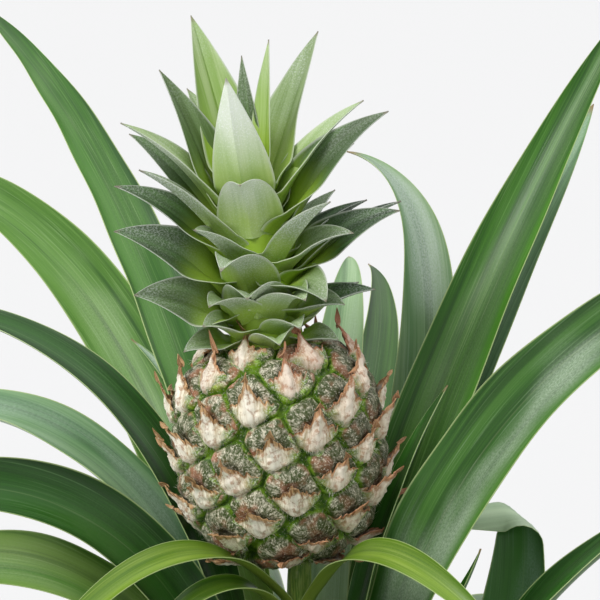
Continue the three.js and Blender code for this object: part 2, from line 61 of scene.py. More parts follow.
# [name, azimuth, height of the foot, length, width, rise at the foot, rise at the tip,
# how late it bends, sideways sweep, roll, look]
ROSETTE = [
    ["leaf_left_1", 117, 222, 455, 29, 70, 15, 0.9, 0, -5, "glossy"],
    ["leaf_left_2", 118, 179, 455, 37, 81, 2, 0.8, 30, -45, "streaked"],
    ["leaf_left_3", 156, 196, 310, 26, 87, -24, 1.5, 8, -15, "deep"],
    ["leaf_left_4", 168, 160, 330, 35, 90, -60, 1.8, 12, -20, "grey"],
    ["leaf_left_5", 208, 171, 290, 35, 88, -30, 1.4, 6, -60, "deep"],
    ["leaf_left_6", 212, 149, 295, 34, 82, -50, 1.7, 4, -50, "bright"],
    ["leaf_left_back", 111, 200, 215, 14, 73, 30, 1, 34, -45, "silver"],
    ["leaf_right_1", 32, 211, 340, 35, 88, 52, 0.5, 10, 25, "glossy"],
    ["leaf_right_2", -20, 165, 350, 39, 89, 12, 1.3, 20, 65, "bloomed"],
    ["leaf_right_3", 35, 182, 330, 39, 84, 40, 1.1, 22, 28, "grey"],
    ["leaf_right_4", -14, 146, 245, 34, 64, 16, 2.8, -5, 18, "deep"],
    ["leaf_right_hooked", 44, 175, 310, 35, 72, 12, 8, 130, -20, "silver"],
    ["leaf_right_back", 76, 203, 320, 24, 60, 5, 1.3, 25, 12, "olive"],
    ["leaf_back", 76, 206, 250, 28, 79, 0, 2.4, 16, 0, "pale"],
    ["leaf_right_folded", 2, 135, 242, 42, 45, 104, 1, -3, 50, "creased"],
    ["leaf_right_slender", -13, 215, 157, 15, 84, 60, 1.3, 5, 42, "deep"],
    ["leaf_right_spike", -50, 196, 162, 13, 50, 50, 1.1, -25, 70, "deep"],
    ["leaf_front_1", 264, 141, 275, 31, 62, -45, 1.3, 0, -20, "glossy"],
    ["leaf_front_2", 254, 158, 260, 31, 62, -34, 1.4, 2, -30, "bloomed"],
    ["leaf_front_3", 300, 156, 280, 31, 66, -50, 1, -10, 0, "deep"],
    ["leaf_front_4", 275, 169, 260, 31, 66, -40, 1.1, 8, -20, "streaked"],
    ["leaf_front_5", 250, 184, 245, 31, 68, -50, 1.6, -5, -60, "deep"],
    ["leaf_front_6", 290, 189, 230, 31, 62, -20, 0.8, 5, -10, "glossy"],
    ["leaf_back_1", 97, 144, 292, 34, 71, -60, 1.2, 0, -40, "glossy"],
    ["leaf_back_2", 60, 154, 255, 32, 70, -60, 1.2, 6, -30, "bloomed"],
    ["leaf_back_3", 111, 170, 275, 32, 65, -60, 1.1, 10, 20, "streaked"],
]
STALK_LEAVES = [
    ["stalk_leaf_left", 226, 270, 170, 14, 86, -58, 0.6, -8, -25, "lime"],
    ["stalk_leaf_low_left", 230, 258, 100, 13, 85, -55, 0.8, -15, -20, "lime"],
    ["stalk_leaf_right", -60, 271, 150, 14, 85, -45, 0.6, 30, 40, "lime"],
]
SKIRT = dict(count=8, azimuth=20, turn=3 / 8, foot=122, step=1.5, length=285, shorter=20, lengths=3,
             width=33, rise=54, droop=-36, power=1.2, sway=7)
SKIRT_LOOKS = ["glossy", "bloomed", "deep", "bright"]

# [azimuth, height of the foot, length, width, rise at the foot, rise at the tip, roll, age, silver]: age
# runs from 0, young and pale, to 1, old and dark, and silver is how much pale scurf the leaf carries.
CROWN_LEAVES = [
    [112, 62, 79, 27, 67, 59, 0, 0.32, 0.15], [58, 60, 82, 29, 50, 42, -10, 0.55, 0.55],
    [80, 58, 58, 14, 84, 80, 0, 0.75, 0.5], [40, 68, 54, 14, 78, 78, 0, 0.1, 0.15],
    [262, 57, 55, 26, 66, 86, 0, 0.0, 0.7], [158, 48, 70, 27, 76, 64, -20, 0.7, 0.15],
    [190, 50, 61, 20, 66, 31, -20, 0.4, 0.55], [166, 42, 61, 26, 66, 36, -35, 0.8, 0.3],
    [207, 40, 53, 20, 60, 30, -15, 0.6, 0.8], [182, 34, 57, 24, 57, 22, -35, 0.85, 0.35],
    [8, 54, 57, 20, 57, 27, 20, 0.3, 0.6], [356, 44, 67, 28, 58, 23, 40, 0.8, 0.35],
    [22, 42, 50, 26, 51, 31, 0, 0.95, 0.2], [322, 34, 38, 20, 52, 22, 0, 0.5, 0.9],
    [266, 45, 38, 28, 84, -5, 0, 0.15, 0.8], [228, 34, 30, 24, 57, 17, -20, 0.5, 0.85],
    [335, 30, 36, 22, 45, -5, 30, 0.65, 0.7], [0, 24, 54, 26, 45, 5, 45, 0.9, 0.3],
    [22, 32, 44, 22, 38, 13, 0, 0.95, 0.35], [14, 24, 57, 22, 41, 11, 0, 0.95, 0.3],
    [188, 22, 55, 28, 54, 14, -55, 0.85, 0.45], [193, 10, 43, 28, 43, 3, -60, 0.75, 0.55],
    [8, 10, 34, 22, 25, -5, 20, 0.9, 0.45], [312, 22, 29, 28, 29, -51, 10, 0.6, 0.5],
    [332, 12, 25, 22, 28, -17, 20, 0.7, 0.55], [254, 22, 44, 26, 64, -26, -10, 0.55, 0.8],
    [222, 6, 21, 22, 47, -8, -30, 0.5, 0.6], [298, 6, 19, 20, 46, -34, 0, 0.4, 0.6],
    [175, 8, 21, 18, 32, 2, 0, 0.75, 0.5], [200, 2, 22, 20, 23, -22, -30, 0.6, 0.75],
    [335, 2, 18, 18, 10, -20, 20, 0.6, 0.75], [280, 2, 20, 20, 40, -33, 0, 0.35, 0.7],
    [262, 14, 27, 30, 70, -30, 0, 0.35, 0.75], [300, 12, 27, 28, 62, -30, 10, 0.4, 0.6],
    [235, 12, 27, 26, 62, -22, -10, 0.5, 0.6],
]
CROWN_BACK = dict(count=12, first=40, last=140, golden=0.618, foot=4, top_foot=52, length=40,
                  top_length=62, width=24, rise=30, top_rise=68, bend=25, age=0.9, top_age=0.45,
                  silver=0.5, top_silver=0.35)

# ---------- sizes of the finer forms ----------
# A pair in a grid is its rows and columns, and any other pair is what a random draw lies between.
SEEDS = dict(leaf=200, stalk_leaf=300, crown=40, eyes=14, bracts=5, wool=9, crumbs=3)
CREASE = dict(blade=60, bract=50, pot=40, crumb=45)
# Roughness: (size, seed, height) of each band of waves.
SKIN_BUMPS = [(5, 11, 0.22), (1.7, 12, 0.1)]
RAGGED = [(0.3, 100, 0.8), (0.1, 300, 0.5)]
RUMPLED = [(3.0, 500, 0.4), (1.2, 700, 0.15)]
SOIL_LUMPS = [(24, 21, 1.0), (7, 22, 0.55), (2.6, 23, 0.3)]
BLADE = dict(crowding=0.92, end=0.9985, least_half=0.12, foot_bend=0.6, tip_bend=0.4, tip_thinning=0.5,
             rim_thinning=0.7, keel_reach=0.3, keel_power=1.5, keel_height=0.3, rim_power=2.5,
             calm_reach=0.35)
RIPPLE = dict(height=(0.015, 0.03), period=(55, 95))
STRAP_BLADE = dict(broad_over=20, broad_grid=(110, 19), narrow_grid=(80, 11), thickness=1.5, inset=0.9)
CROWN_BLADE = dict(grid=(44, 15), thickness=1.3, keel=0.5, sunk=1)
CORE_GRID = (24, 40)
FRUIT_GRID = (260, 420)
EYE_SCATTER = 0.9
CELL = dict(reach=12.3, arch=0.16, arch_reach=10, edge_share=0.55)
# The skin of an eye: groove round the cell, shoulder, plump upper half and dimple, fainter at the poles.
RELIEF = dict(groove=-1.3, groove_width=0.7, shoulder=1.9, shoulder_start=0.1, shoulder_width=1.9,
              plump=1.5, plump_width=7, plump_start=2, plump_rise=5, dimple=-0.9, dimple_area=7,
              at_poles=0.25)
# A bract and its dried tip. What is named top is for the eyes at the crown's foot.
BRACT = dict(grid=(17, 29), size=(0.92, 1.1), half=10.8, top_half=8.8, foot=-11.8, foot_rise=9.6,
             foot_power=1.25, tip=(3.5, 7.5), top_tip=(3.5, 5.5), shoulder=-1.6, tip_power=2.2,
             corner=0.6, lift=(4.2, 7.6), top_lift=(3.5, 5.5), skew=1.8, wing=(1.4, 2.4), belly=1.1,
             keel_width=0.26, keel_power=1.5, thickness=0.45)
# How red a bract is: redder to the right, at the crown's foot and low on the fruit.
# To the right the redder, darker tint is partly the bracts' own and partly painted shade, away from the
# key light.
REDNESS = dict(least=0.2, right=0.45, top=0.3, low=0.25, scatter=0.25)
AWN = dict(grid=(12, 5), length=4.2, top_length=6.0, spread=(0.7, 1.25), width=(2.6, 4.2), twist=2.8,
           bend=(-0.3, 1.3), sunk=1.6, thickness=0.3)
WOOL = dict(upper=22, upper_fan=1.9, upper_radius=(1.5, 8.5), upper_root=-0.1, lower=45, lower_fan=0.9,
            lower_radius=(5.5, 9.5), lower_root=0.9, lean=(0.1, 0.5), stray=0.25, length=(1.2, 3.0),
            thickness=0.08)
# Crumbs are of three kinds: peat, bark and white grains.
CRUMBS = dict(count=900, kinds=[0, 1, 2], shares=[0.62, 0.33, 0.05], size=(0.7, 2.3), bark=(1.2, 4.2),
              grid=(5, 7), uneven=(0.72, 1.15), breadth=(0.5, 1), height=(0.3, 0.8), raised=0.15)
SOIL_GRID = (46, 180)
POT_FOOT = dict(outer=12, inner=14, recess=1.2)
POT_SIDES = 144
POT_ROUNDING = 1.2
DRILL = dict(low=-5, high=8, sides=32)
STEM_GRID = (90, 72)
STEM_RIBS = dict(count=11, depth=0.02, twist=0.02)

# ---------- colours: sRGB as seen under even white light ----------
# look: (dark green, light green, underside, bloom colour, bloom)
LOOKS = {
    "glossy": ("#1b4c06", "#447e16", "#78985a", "#9cb284", 0.15),
    "streaked": ("#28560f", "#5d8a34", "#7f9c64", "#a8bc94", 0.3),
    "deep": ("#0c3202", "#265c0c", "#557a3e", "#76946a", 0.1),
    "grey": ("#4c7b4c", "#83a877", "#9cb490", "#aec1b0", 0.55),
    "bright": ("#447a26", "#7a9c46", "#88a470", "#acbe94", 0.25),
    "bloomed": ("#1f4f10", "#4c7c2e", "#809f74", "#a6b8a0", 0.85),
    "silver": ("#5c8652", "#90ac80", "#9cb294", "#b8c6bc", 0.75),
    "olive": ("#163a0c", "#3c6420", "#4a6c3e", "#6e8a5c", 0.25),
    "pale": ("#6c9660", "#9cbb88", "#a2ba92", "#b8ccae", 0.45),
    # The creased leaf's pale underside is partly its own colour and partly painted light shining through
    # the folded wing.
    "creased": ("#1f4c16", "#467a34", "#c2d6b4", "#93ad9c", 0.7),
    "lime": ("#386409", "#789822", "#8a9c42", "#b8c47c", 0.15),
}


def srgb(text):
    """The linear colour, with alpha, of a hexadecimal sRGB colour."""
    parts = [int(text[i:i + 2], 16) / 255 for i in (1, 3, 5)]
    return [p / 12.92 if p <= 0.04045 else ((p + 0.055) / 1.055) ** 2.4 for p in parts] + [1]


# ---------- numbers ----------
def smooth(x):
    x = np.clip(x, 0, 1)
    return x * x * (3 - 2 * x)


def lerp(a, b, share):
    return a + (b - a) * share


def polar(radius, degrees, z):
    angle = math.radians(degrees)
    return np.array([radius * math.cos(angle), radius * math.sin(angle), z])


def unit(vectors):
    return vectors / np.maximum(np.linalg.norm(vectors, axis=-1, keepdims=True), 1e-9)


def waves(points, size, seed, count=16):
    """Smooth noise, about -1 to 1, with features of a size: plane waves at random, added up."""
    draw = np.random.default_rng(seed)
    points = np.atleast_2d(points)
    directions = unit(draw.normal(size=(count, points.shape[-1])))
    lengths = draw.uniform(0.7, 1.5, count) * size
    phases = draw.uniform(0, 2 * math.pi, count)
    angles = points @ (directions / lengths[:, None]).T * 2 * math.pi + phases
    return np.sin(angles).sum(-1) / math.sqrt(count / 2) / 1.6


def rough(points, bands, seed=0, count=16):
    """Several bands of waves, added up."""
    return sum(waves(points, size, first + seed, count) * height for size, first, height in bands)


def risen(table, name, share):
    """A named size on its way from its low value to its top value."""
    return lerp(table[name], table["top_" + name], share)


# ---------- meshes ----------
def rings(radii, heights, turn):
    """Points of level rings, one ring for each radius and height."""
    across, ahead = radii[:, None] * np.cos(turn), radii[:, None] * np.sin(turn)
    return np.stack([across.ravel(), ahead.ravel(), np.repeat(heights, len(turn))], 1)


def grid_faces(rows, columns, wrap=False):
    """Quads over a grid of points that is stored row by row."""
    faces = []
    for i in range(rows - 1):
        for k in range(columns if wrap else columns - 1):
            a = i * columns + k
            b = i * columns + (k + 1) % columns
            faces.append((a, b, b + columns, a + columns))
    return faces


def capped(points, columns, first, last):
    """A tube of rings, closed by a fan of triangles to a point at each end."""
    count = len(points)
    faces = grid_faces(count // columns, columns, wrap=True)
    for k in range(columns):
        faces.append((count, (k + 1) % columns, k))
        faces.append((count + 1, count - columns + k, count - columns + (k + 1) % columns))
    return np.concatenate([points, [first, last]]), faces


def circle(columns):
    return np.linspace(0, 2 * math.pi, columns, endpoint=False)


def shell(upper, lower):
    """A closed thin piece between two grids of points."""
    rows, columns = upper.shape[:2]
    size = rows * columns
    faces = grid_faces(rows, columns)
    faces += [tuple(size + p for p in reversed(face)) for face in faces]
    rim = list(range(columns))
    rim += [i * columns + columns - 1 for i in range(1, rows)]
    rim += [(rows - 1) * columns + k for k in range(columns - 2, -1, -1)]
    rim += [i * columns for i in range(rows - 2, 0, -1)]
    for a, b in zip(rim, rim[1:] + rim[:1]):
        faces.append((a, a + size, b + size, b))
    return np.concatenate([upper.reshape(-1, 3), lower.reshape(-1, 3)]), faces


def both(values, rows, columns):
    """Values of a grid's points, once for each side of its shell."""
    return np.tile(np.broadcast_to(values, (rows, columns)).ravel(), 2)


class Parts:
    """Collects points, faces and named values for each point, so that many bits make one mesh."""

    def __init__(self):
        self.points, self.faces, self.values, self.count = [], [], {}, 0

    def add(self, points, faces, **values):
        self.faces += [tuple(self.count + p for p in face) for face in faces]
        self.points.append(points)
        for name, value in values.items():
            filled = np.broadcast_to(np.asarray(value, float), (len(points),))
            self.values.setdefault(name, []).append(filled)
        self.count += len(points)

    def mesh(self, name, turned=None, sharp=None):
        points = np.concatenate(self.points) * MM
        if turned is not None:
            points = turned(points)
        made = bpy.data.meshes.new(name)
        made.from_pydata(points.tolist(), [], self.faces)
        tidy = bmesh.new()
        tidy.from_mesh(made)
        bmesh.ops.recalc_face_normals(tidy, faces=tidy.faces)
        tidy.to_mesh(made)
        tidy.free()
        for key, values in self.values.items():
            layer = made.attributes.new(key, "FLOAT", "POINT")
            layer.data.foreach_set("value", np.concatenate(values).astype(np.float32))
        made.shade_smooth()
        if sharp:
            made.set_sharp_from_angle(angle=math.radians(sharp))
        return made


def put(name, data):
    """A new object of the scene."""
    made = bpy.data.objects.new(name, data)
    bpy.context.scene.collection.objects.link(made)
    return made


def piece(name, mesh, material, slot, *replaced):
    """A piece of the plant that stands for CAD nodes and rides on its one body."""
    made = put(name, mesh)
    mesh.materials.append(material)
    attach(made, "root")
    if replaced:
        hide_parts(*replaced)
    return made


# ---------- shader nodes ----------
class Shader:
    """A material under construction, with one short method for each kind of node."""

    def __init__(self, name, **constants):
        self.material = bpy.data.materials.new(name)
        self.material.use_nodes = True
        self.tree = self.material.node_tree
        self.surface = self.tree.nodes["Principled BSDF"]
        for key, value in constants.items():
            socket = key.replace("_", " ").title().replace("Ior", "IOR")
            self.surface.inputs[socket].default_value = value

    def node(self, kind, values, **settings):
        made = self.tree.nodes.new("ShaderNode" + kind)
        for key, value in settings.items():
            setattr(made, key, value)
        for key, value in values.items():
            if isinstance(value, bpy.types.NodeSocket):
                self.tree.links.new(value, made.inputs[key])
            else:
                made.inputs[key].default_value = value
        return made

    def tools(self):
        """The methods that materials use most."""
        return self.noise, self.ease, self.mix, self.times, self.plus

    def value(self, name):
        return self.node("Attribute", {}, attribute_name=name).outputs["Fac"]

    def values(self, names):
        return [self.value(name) for name in names.split()]

    def place(self):
        return self.node("TexCoord", {}).outputs["Object"]

    def math(self, operation, a, b=0.0, clamp=False):
        return self.node("Math", {0: a, 1: b}, operation=operation, use_clamp=clamp).outputs[0]

    def times(self, a, b):
        return self.math("MULTIPLY", a, b)

    def plus(self, a, b):
        return self.math("ADD", a, b)

    def size(self, a):
        return self.math("ABSOLUTE", a)

    def combine(self, x, y, z):
        return self.node("CombineXYZ", {0: x, 1: y, 2: z}).outputs[0]

    def across(self, vector):
        return self.node("SeparateXYZ", {0: vector}).outputs["X"]

    def noise(self, vector, scale, detail=2.0, roughness=0.5, distortion=0.0):
        values = {"Vector": vector, "Scale": scale, "Detail": detail, "Roughness": roughness}
        values["Distortion"] = distortion
        return self.node("TexNoise", values).outputs["Fac"]

    def ease(self, value, low, high, to_low=0.0, to_high=1.0):
        values = {"Value": value, "From Min": low, "From Max": high, "To Min": to_low, "To Max": to_high}
        return self.node("MapRange", values, interpolation_type="SMOOTHSTEP").outputs[0]

    def mix(self, share, a, b):
        a, b = [srgb(colour) if isinstance(colour, str) else colour for colour in (a, b)]
        made = self.node("Mix", {0: share, 6: a, 7: b}, data_type="RGBA", clamp_factor=True)
        return made.outputs[2]

    def finish(self, colour, roughness=None, height=None, depth=0.0, strength=1.0):
        """The finished material, with a relief that is depth millimetres deep."""
        links = {"Base Color": colour, "Roughness": roughness}
        if height is not None:
            values = {"Height": height, "Distance": depth * MM, "Strength": strength}
            links["Normal"] = self.node("Bump", values).outputs[0]
        for socket, value in links.items():
            if value is not None:
                self.tree.links.new(value, self.surface.inputs[socket])
        return self.material


def leaf_material(name, look):
    """A strap leaf: long veins and streaks, waxy bloom, pale margins and midline, and a dry tip."""
    dark, light, under, bloom_colour, bloom = look
    shader = Shader(name, specular_ior_level=0.38, coat_weight=0.06, coat_roughness=0.3)
    noise, ease, mix, times, plus = shader.tools()
    along, across, seed = shader.values("along across seed")
    share, side, upper = shader.values("share side upper")
    squeezed = lambda length: shader.combine(across, times(along, length), seed)
    lengthwise = squeezed(0.012)
    veins = noise(lengthwise, 1500, 2)
    streaks = noise(lengthwise, 230, 3, 0.6)
    patches = noise(squeezed(0.3), 45, 2)
    grain = noise(squeezed(0.45), 1900, 3, 0.65)
    bands = noise(lengthwise, 75, 1)
    mixed = plus(times(streaks, 0.4), times(bands, 0.6))
    tone = ease(plus(mixed, times(veins, 0.22)), 0.42, 0.76)
    colour = mix(tone, dark, light)
    colour = mix(ease(veins, 0.55, 0.78, 0.0, 0.3), colour, bloom_colour)
    colour = mix(ease(streaks, 0.46, 0.3, 0.0, 0.35), colour, "#16320c")
    colour = mix(ease(share, 0.3, 0.0, 0.0, 0.6), colour, "#8aa33c")
    edge = shader.size(side)
    middle = ease(edge, 0.95, 0.45)
    wax = times(times(ease(patches, 0.36, 0.62), middle), ease(grain, 0.34, 0.66, 0.45, 1))
    wax = times(wax, bloom)
    colour = mix(wax, colour, bloom_colour)
    pale = mix(ease(streaks, 0.35, 0.7, 0.45, 0.9), colour, under)
    colour = mix(upper, pale, colour)
    line = ease(shader.size(plus(side, -0.04)), 0.03, 0.0, 0.0, 0.1)
    colour = mix(line, colour, "#b9cf95")
    colour = mix(ease(edge, 0.955, 0.995, 0.0, 0.75), colour, "#b4c788")
    colour = mix(ease(share, 0.972, 0.995), colour, "#8d7a55")
    roughness = plus(ease(veins, 0.3, 0.7, 0.33, 0.45), times(wax, 0.25))
    height = plus(veins, times(grain, 0.25))
    return shader.finish(colour, roughness, height, 0.16, 0.6)


def crown_material():
    """A crown leaf: young ones pale, old ones dark, with silver scurf, pale margins and dry tips."""
    shader = Shader("crown_leaf", specular_ior_level=0.4, coat_weight=0.05, coat_roughness=0.4)
    noise, ease, mix, times, plus = shader.tools()
    along, across, seed = shader.values("along across seed")
    share, side, upper = shader.values("share side upper")
    age, silver = shader.values("age silver")
    squeezed = lambda length: shader.combine(across, times(along, length), seed)
    lengthwise = squeezed(0.03)
    veins = noise(lengthwise, 900, 2)
    streaks = noise(lengthwise, 300, 3, 0.6)
    scurf = noise(squeezed(0.7), 1700, 3, 0.7)
    patches = noise(squeezed(0.5), 90, 2)
    young = mix(ease(streaks, 0.35, 0.65), "#8bb046", "#b5cc86")
    old = mix(ease(streaks, 0.35, 0.68), "#16330f", "#386026")
    colour = mix(ease(age, 0.0, 1.0), young, old)
    base = ease(plus(share, times(streaks, 0.25)), 0.66, 0.26, 0.0, 0.95)
    colour = mix(base, colour, mix(streaks, "#6f9c1a", "#b4cc42"))
    dusted = plus(times(silver, 0.6), ease(share, 0.35, 1.0, -0.2, 0.3))
    dusted = times(dusted, ease(patches, 0.3, 0.65, 0.45, 1.1))
    plain = times(shader.math("SUBTRACT", 1.0, age), 0.7)
    grains = shader.math("MAXIMUM", ease(scurf, 0.44, 0.6, 0.08, 1.0), plain)
    reverse = times(shader.math("SUBTRACT", 1.0, upper), ease(share, 0.2, 0.75, 0.05, 0.6))
    dusted = plus(dusted, reverse)
    dust = shader.math("MULTIPLY", dusted, grains, clamp=True)
    colour = mix(dust, colour, mix(age, "#e6ede2", "#bcc6bd"))
    edge = shader.size(side)
    colour = mix(ease(edge, 0.88, 0.99, 0.0, 0.6), colour, "#c9cfc2")
    tip = ease(plus(share, times(patches, 0.1)), 0.985, 1.04, 0.0, 0.7)
    colour = mix(tip, colour, "#7a6a5c")
    roughness = plus(ease(veins, 0.3, 0.7, 0.42, 0.52), times(dust, 0.2))
    height = plus(times(veins, 0.8), times(scurf, 0.5))
    return shader.finish(colour, roughness, height, 0.14, 0.6)


def fruit_material():
    """The eyes: green grooves round woolly shields; painted shade to the right, in the grooves and
    partly in each hollow; painted glints.
    """
    shader = Shader("fruit_skin", specular_ior_level=0.3, coat_weight=0.04, coat_roughness=0.3)
    noise, ease, mix, times, plus = shader.tools()
    place = shader.place()
    ray, reach, seed = shader.values("ray reach seed")
    groove, lower, edge = shader.values("groove lower edge")
    hairs = noise(shader.combine(times(ray, 7.0), times(reach, 0.16), seed), 1.6, 4, 0.65)
    mottle = noise(place, 260, 4, 0.6)
    fine = noise(place, 1300, 3, 0.6)
    blush = noise(place, 120, 2)
    side = shader.across(place)
    # Painted shade: the skin darkens towards the right, the side turned away from the key light.
    shade = ease(plus(side, times(blush, 0.03)), -0.005, 0.05)
    wool = mix(ease(mix(0.45, hairs, fine), 0.4, 0.62), "#434a18", "#e6e0c8")
    wool = mix(ease(mottle, 0.6, 0.42, 0.0, 0.85), wool, "#33480a")
    wool = mix(ease(blush, 0.5, 0.66, 0.0, 0.6), wool, "#c07a5e")
    # Mixes in the painted shade on the right.
    wool = mix(times(shade, 0.5), wool, "#2c2a0c")
    # Painted shade under each bract, in the hollow of the eye above it; the dark brown is partly the
    # hollow's own colour.
    hollow = times(shader.value("hollow"), ease(mottle, 0.3, 0.6, 1.0, 0.55))
    wool = mix(hollow, wool, "#2a2008")
    green = mix(ease(mottle, 0.35, 0.65), "#305a04", "#8cb820")
    colour = mix(ease(plus(edge, times(mottle, 0.9)), 0.9, 1.8, 1.0, 0.0), wool, green)
    colour = mix(times(lower, 0.75), colour, green)
    # Painted glints: fine white specks that stand in for a wet sheen.
    colour = mix(ease(fine, 0.58, 0.68, 0.0, 0.7), colour, "#ebe6d0")
    # Painted shade down in the grooves round each eye.
    colour = mix(times(groove, 0.55), colour, "#253f06")
    roughness = ease(fine, 0.4, 0.7, 0.35, 0.7)
    height = plus(times(hairs, 1.0), times(fine, 0.6))
    return shader.finish(colour, roughness, height, 0.5, 0.7)


def bract_material():
    """A bract: cream keel with a painted highlight, green root, tan papery margin and brown dried tip,
    with fibres along it.
    """
    shader = Shader("bract", specular_ior_level=0.35)
    noise, ease, mix, times, plus = shader.tools()
    fibre, climb, seed = shader.values("fibre climb seed")
    rim, red = shader.values("rim red")
    place = shader.place()
    fibres = noise(shader.combine(times(fibre, 6.0), times(climb, 0.9), seed), 2.2, 4, 0.6)
    mottle = noise(place, 380, 4, 0.65)
    fine = noise(place, 1500, 2)
    cream = mix(ease(fibres, 0.34, 0.62), "#b29c6c", "#fcf4dc")
    # Painted highlight along the keel, on top of its own cream: the ridge is drawn lighter than its
    # flanks.
    cream = mix(times(shader.value("keel"), 0.75), cream, "#fdf8ea")
    cream = mix(ease(mottle, 0.48, 0.64, 0.0, 0.7), cream, "#a0704a")
    # Red tint: the bract's own, and where it grows to the right partly painted shade, away from the key
    # light.
    cream = mix(times(red, 0.5), cream, "#ac7a5e")
    green = mix(ease(mottle, 0.35, 0.65), "#3f6a10", "#83a238")
    wing = ease(shader.size(fibre), 0.3, 0.85)
    low = plus(climb, times(mottle, 0.5))
    rooted = plus(ease(low, 0.45, 0.28), times(wing, ease(low, 1.1, 0.7)))
    rooted = shader.math("MINIMUM", rooted, 0.92)
    colour = mix(rooted, cream, green)
    frost = times(ease(fine, 0.5, 0.6), ease(low, 0.3, 0.8, 0.45, 0.75))
    colour = mix(times(rooted, frost), colour, "#dfe0d0")
    tan = mix(ease(fibres, 0.35, 0.65), "#7a5228", "#dcb484")
    # The margin reddens and darkens the same way, to the right partly as painted shade.
    tan = mix(times(red, 0.8), tan, mix(fibres, "#6a2e1a", "#c48468"))
    dried = ease(plus(rim, times(plus(mottle, -0.5), 1.1)), 0.3, 0.8)
    colour = mix(dried, colour, tan)
    colour = mix(ease(fine, 0.62, 0.72, 0.0, 0.4), colour, "#f3f0e4")
    height = plus(fibres, times(fine, 0.4))
    return shader.finish(colour, ease(fibres, 0.3, 0.7, 0.5, 0.68), height, 0.35, 0.7)


def wool_material():
    """The fine pale hairs on the eyes."""
    shader = Shader("wool", specular_ior_level=0.3, roughness=0.7)
    tone = shader.noise(shader.place(), 300, 1)
    return shader.finish(shader.mix(shader.ease(tone, 0.35, 0.65), "#b4ae94", "#efece0"))


def pot_material():
    """Dark moulded plastic with a fine satin grain and faint scuffs."""
    shader = Shader("pot_plastic", specular_ior_level=0.4)
    place = shader.place()
    grain = shader.noise(place, 2200, 2)
    scuffs = shader.noise(place, 90, 5, 0.7, 0.6)
    colour = shader.mix(shader.ease(scuffs, 0.45, 0.7, 0.0, 0.5), "#2b2a29", "#4a4744")
    roughness = shader.ease(scuffs, 0.35, 0.7, 0.42, 0.62)
    return shader.finish(colour, roughness, grain, 0.05, 0.5)


def soil_material():
    """Moist peat with paler crumbs."""
    shader = Shader("potting_mix", specular_ior_level=0.3)
    noise, ease, mix, _, plus = shader.tools()
    place = shader.place()
    kind = shader.value("kind")
    crumbs = noise(place, 420, 5, 0.7)
    fibres = noise(place, 1400, 4, 0.7)
    colour = mix(ease(crumbs, 0.35, 0.68), "#241812", "#5a3f2c")
    bark = mix(ease(fibres, 0.35, 0.65), "#3f2818", "#8a6442")
    colour = mix(ease(kind, 0.4, 0.6), colour, bark)
    colour = mix(ease(kind, 1.4, 1.6), colour, "#d8d4ca")
    height = plus(crumbs, fibres)
    return shader.finish(colour, ease(crumbs, 0.3, 0.7, 0.75, 0.95), height, 0.8, 0.8)


def stem_material():
    """The stalk: pale green with ribs, paler and browner down in the rosette."""
    shader = Shader("stalk", specular_ior_level=0.4)
    noise, ease, mix, times, _ = shader.tools()
    place = shader.place()
    around, climb = shader.values("around climb")
    ribs = noise(shader.combine(around, 0.0, times(climb, 0.02)), 9, 3)
    mottle = noise(place, 260, 3)
    colour = mix(ease(ribs, 0.3, 0.7), "#5f8a2c", "#a4bd5c")
    colour = mix(ease(climb, 215, 150, 0.0, 0.75), colour, "#b3a878")
    colour = mix(ease(mottle, 0.55, 0.75, 0.0, 0.3), colour, "#d8d9b8")
    return shader.finish(colour, ease(mottle, 0.3, 0.7, 0.4, 0.55), ribs, 0.6, 0.6)


# ---------- leaves ----------
def width_share(outline, s):
    taper = np.maximum(0, (s - outline["taper_from"]) / (1 - outline["taper_from"]))
    full = (1 - np.minimum(taper, 1) ** outline["power"]) ** outline["fullness"]
    return lerp(outline["foot"], 1, smooth(s / LEAF["widen_reach"])) * full


def stem_radius(z):
    if z < STEM["collar"]:
        share = (z - STEM["foot"]) / (STEM["collar"] - STEM["foot"])
        return lerp(STEM["foot_radius"], STEM["collar_radius"], share)
    if z < STEM["heart"]:
        share = (z - STEM["collar"]) / (STEM["heart"] - STEM["collar"])
        return lerp(STEM["collar_radius"], STEM["heart_radius"], share)
    share = (z - STEM["heart"]) / (STALK["start"] - STEM["heart"])
    return lerp(STEM["heart_radius"], STALK["radius"], float(smooth(share)))


def spine_of(shape, foot_radius, flare, s, folded):
    """Midrib points, side and face directions at the shares s of the blade."""
    azimuth, foot, length, _, rise, tip_rise, power, sweep, roll = shape
    fold = smooth(0.5 + (s - FOLD["at"]) / FOLD["reach"]) * folded
    bent = rise + (tip_rise - rise) * s ** power + FOLD["over"] * fold
    up = np.radians(bent - flare * (1 - smooth(s / LEAF["flare_reach"])))
    turn = np.radians(azimuth + sweep * s ** 3)
    ahead = np.stack([np.cos(up) * np.cos(turn), np.cos(up) * np.sin(turn), np.sin(up)], 1)
    steps = (ahead[1:] + ahead[:-1]) / 2 * (np.diff(s) * length)[:, None]
    at = polar(foot_radius, azimuth, foot) + np.concatenate([np.zeros((1, 3)), np.cumsum(steps, 0)])
    side = np.stack([-np.sin(turn), np.cos(turn), np.zeros_like(turn)], 1)
    face = np.stack([-np.sin(up) * np.cos(turn), -np.sin(up) * np.sin(turn), np.cos(up)], 1)
    angle = np.radians(roll * smooth(s / LEAF["roll_reach"]) + FOLD["twist"] * fold)[:, None]
    return at, side * np.cos(angle) + face * np.sin(angle), face * np.cos(angle) - side * np.sin(angle)


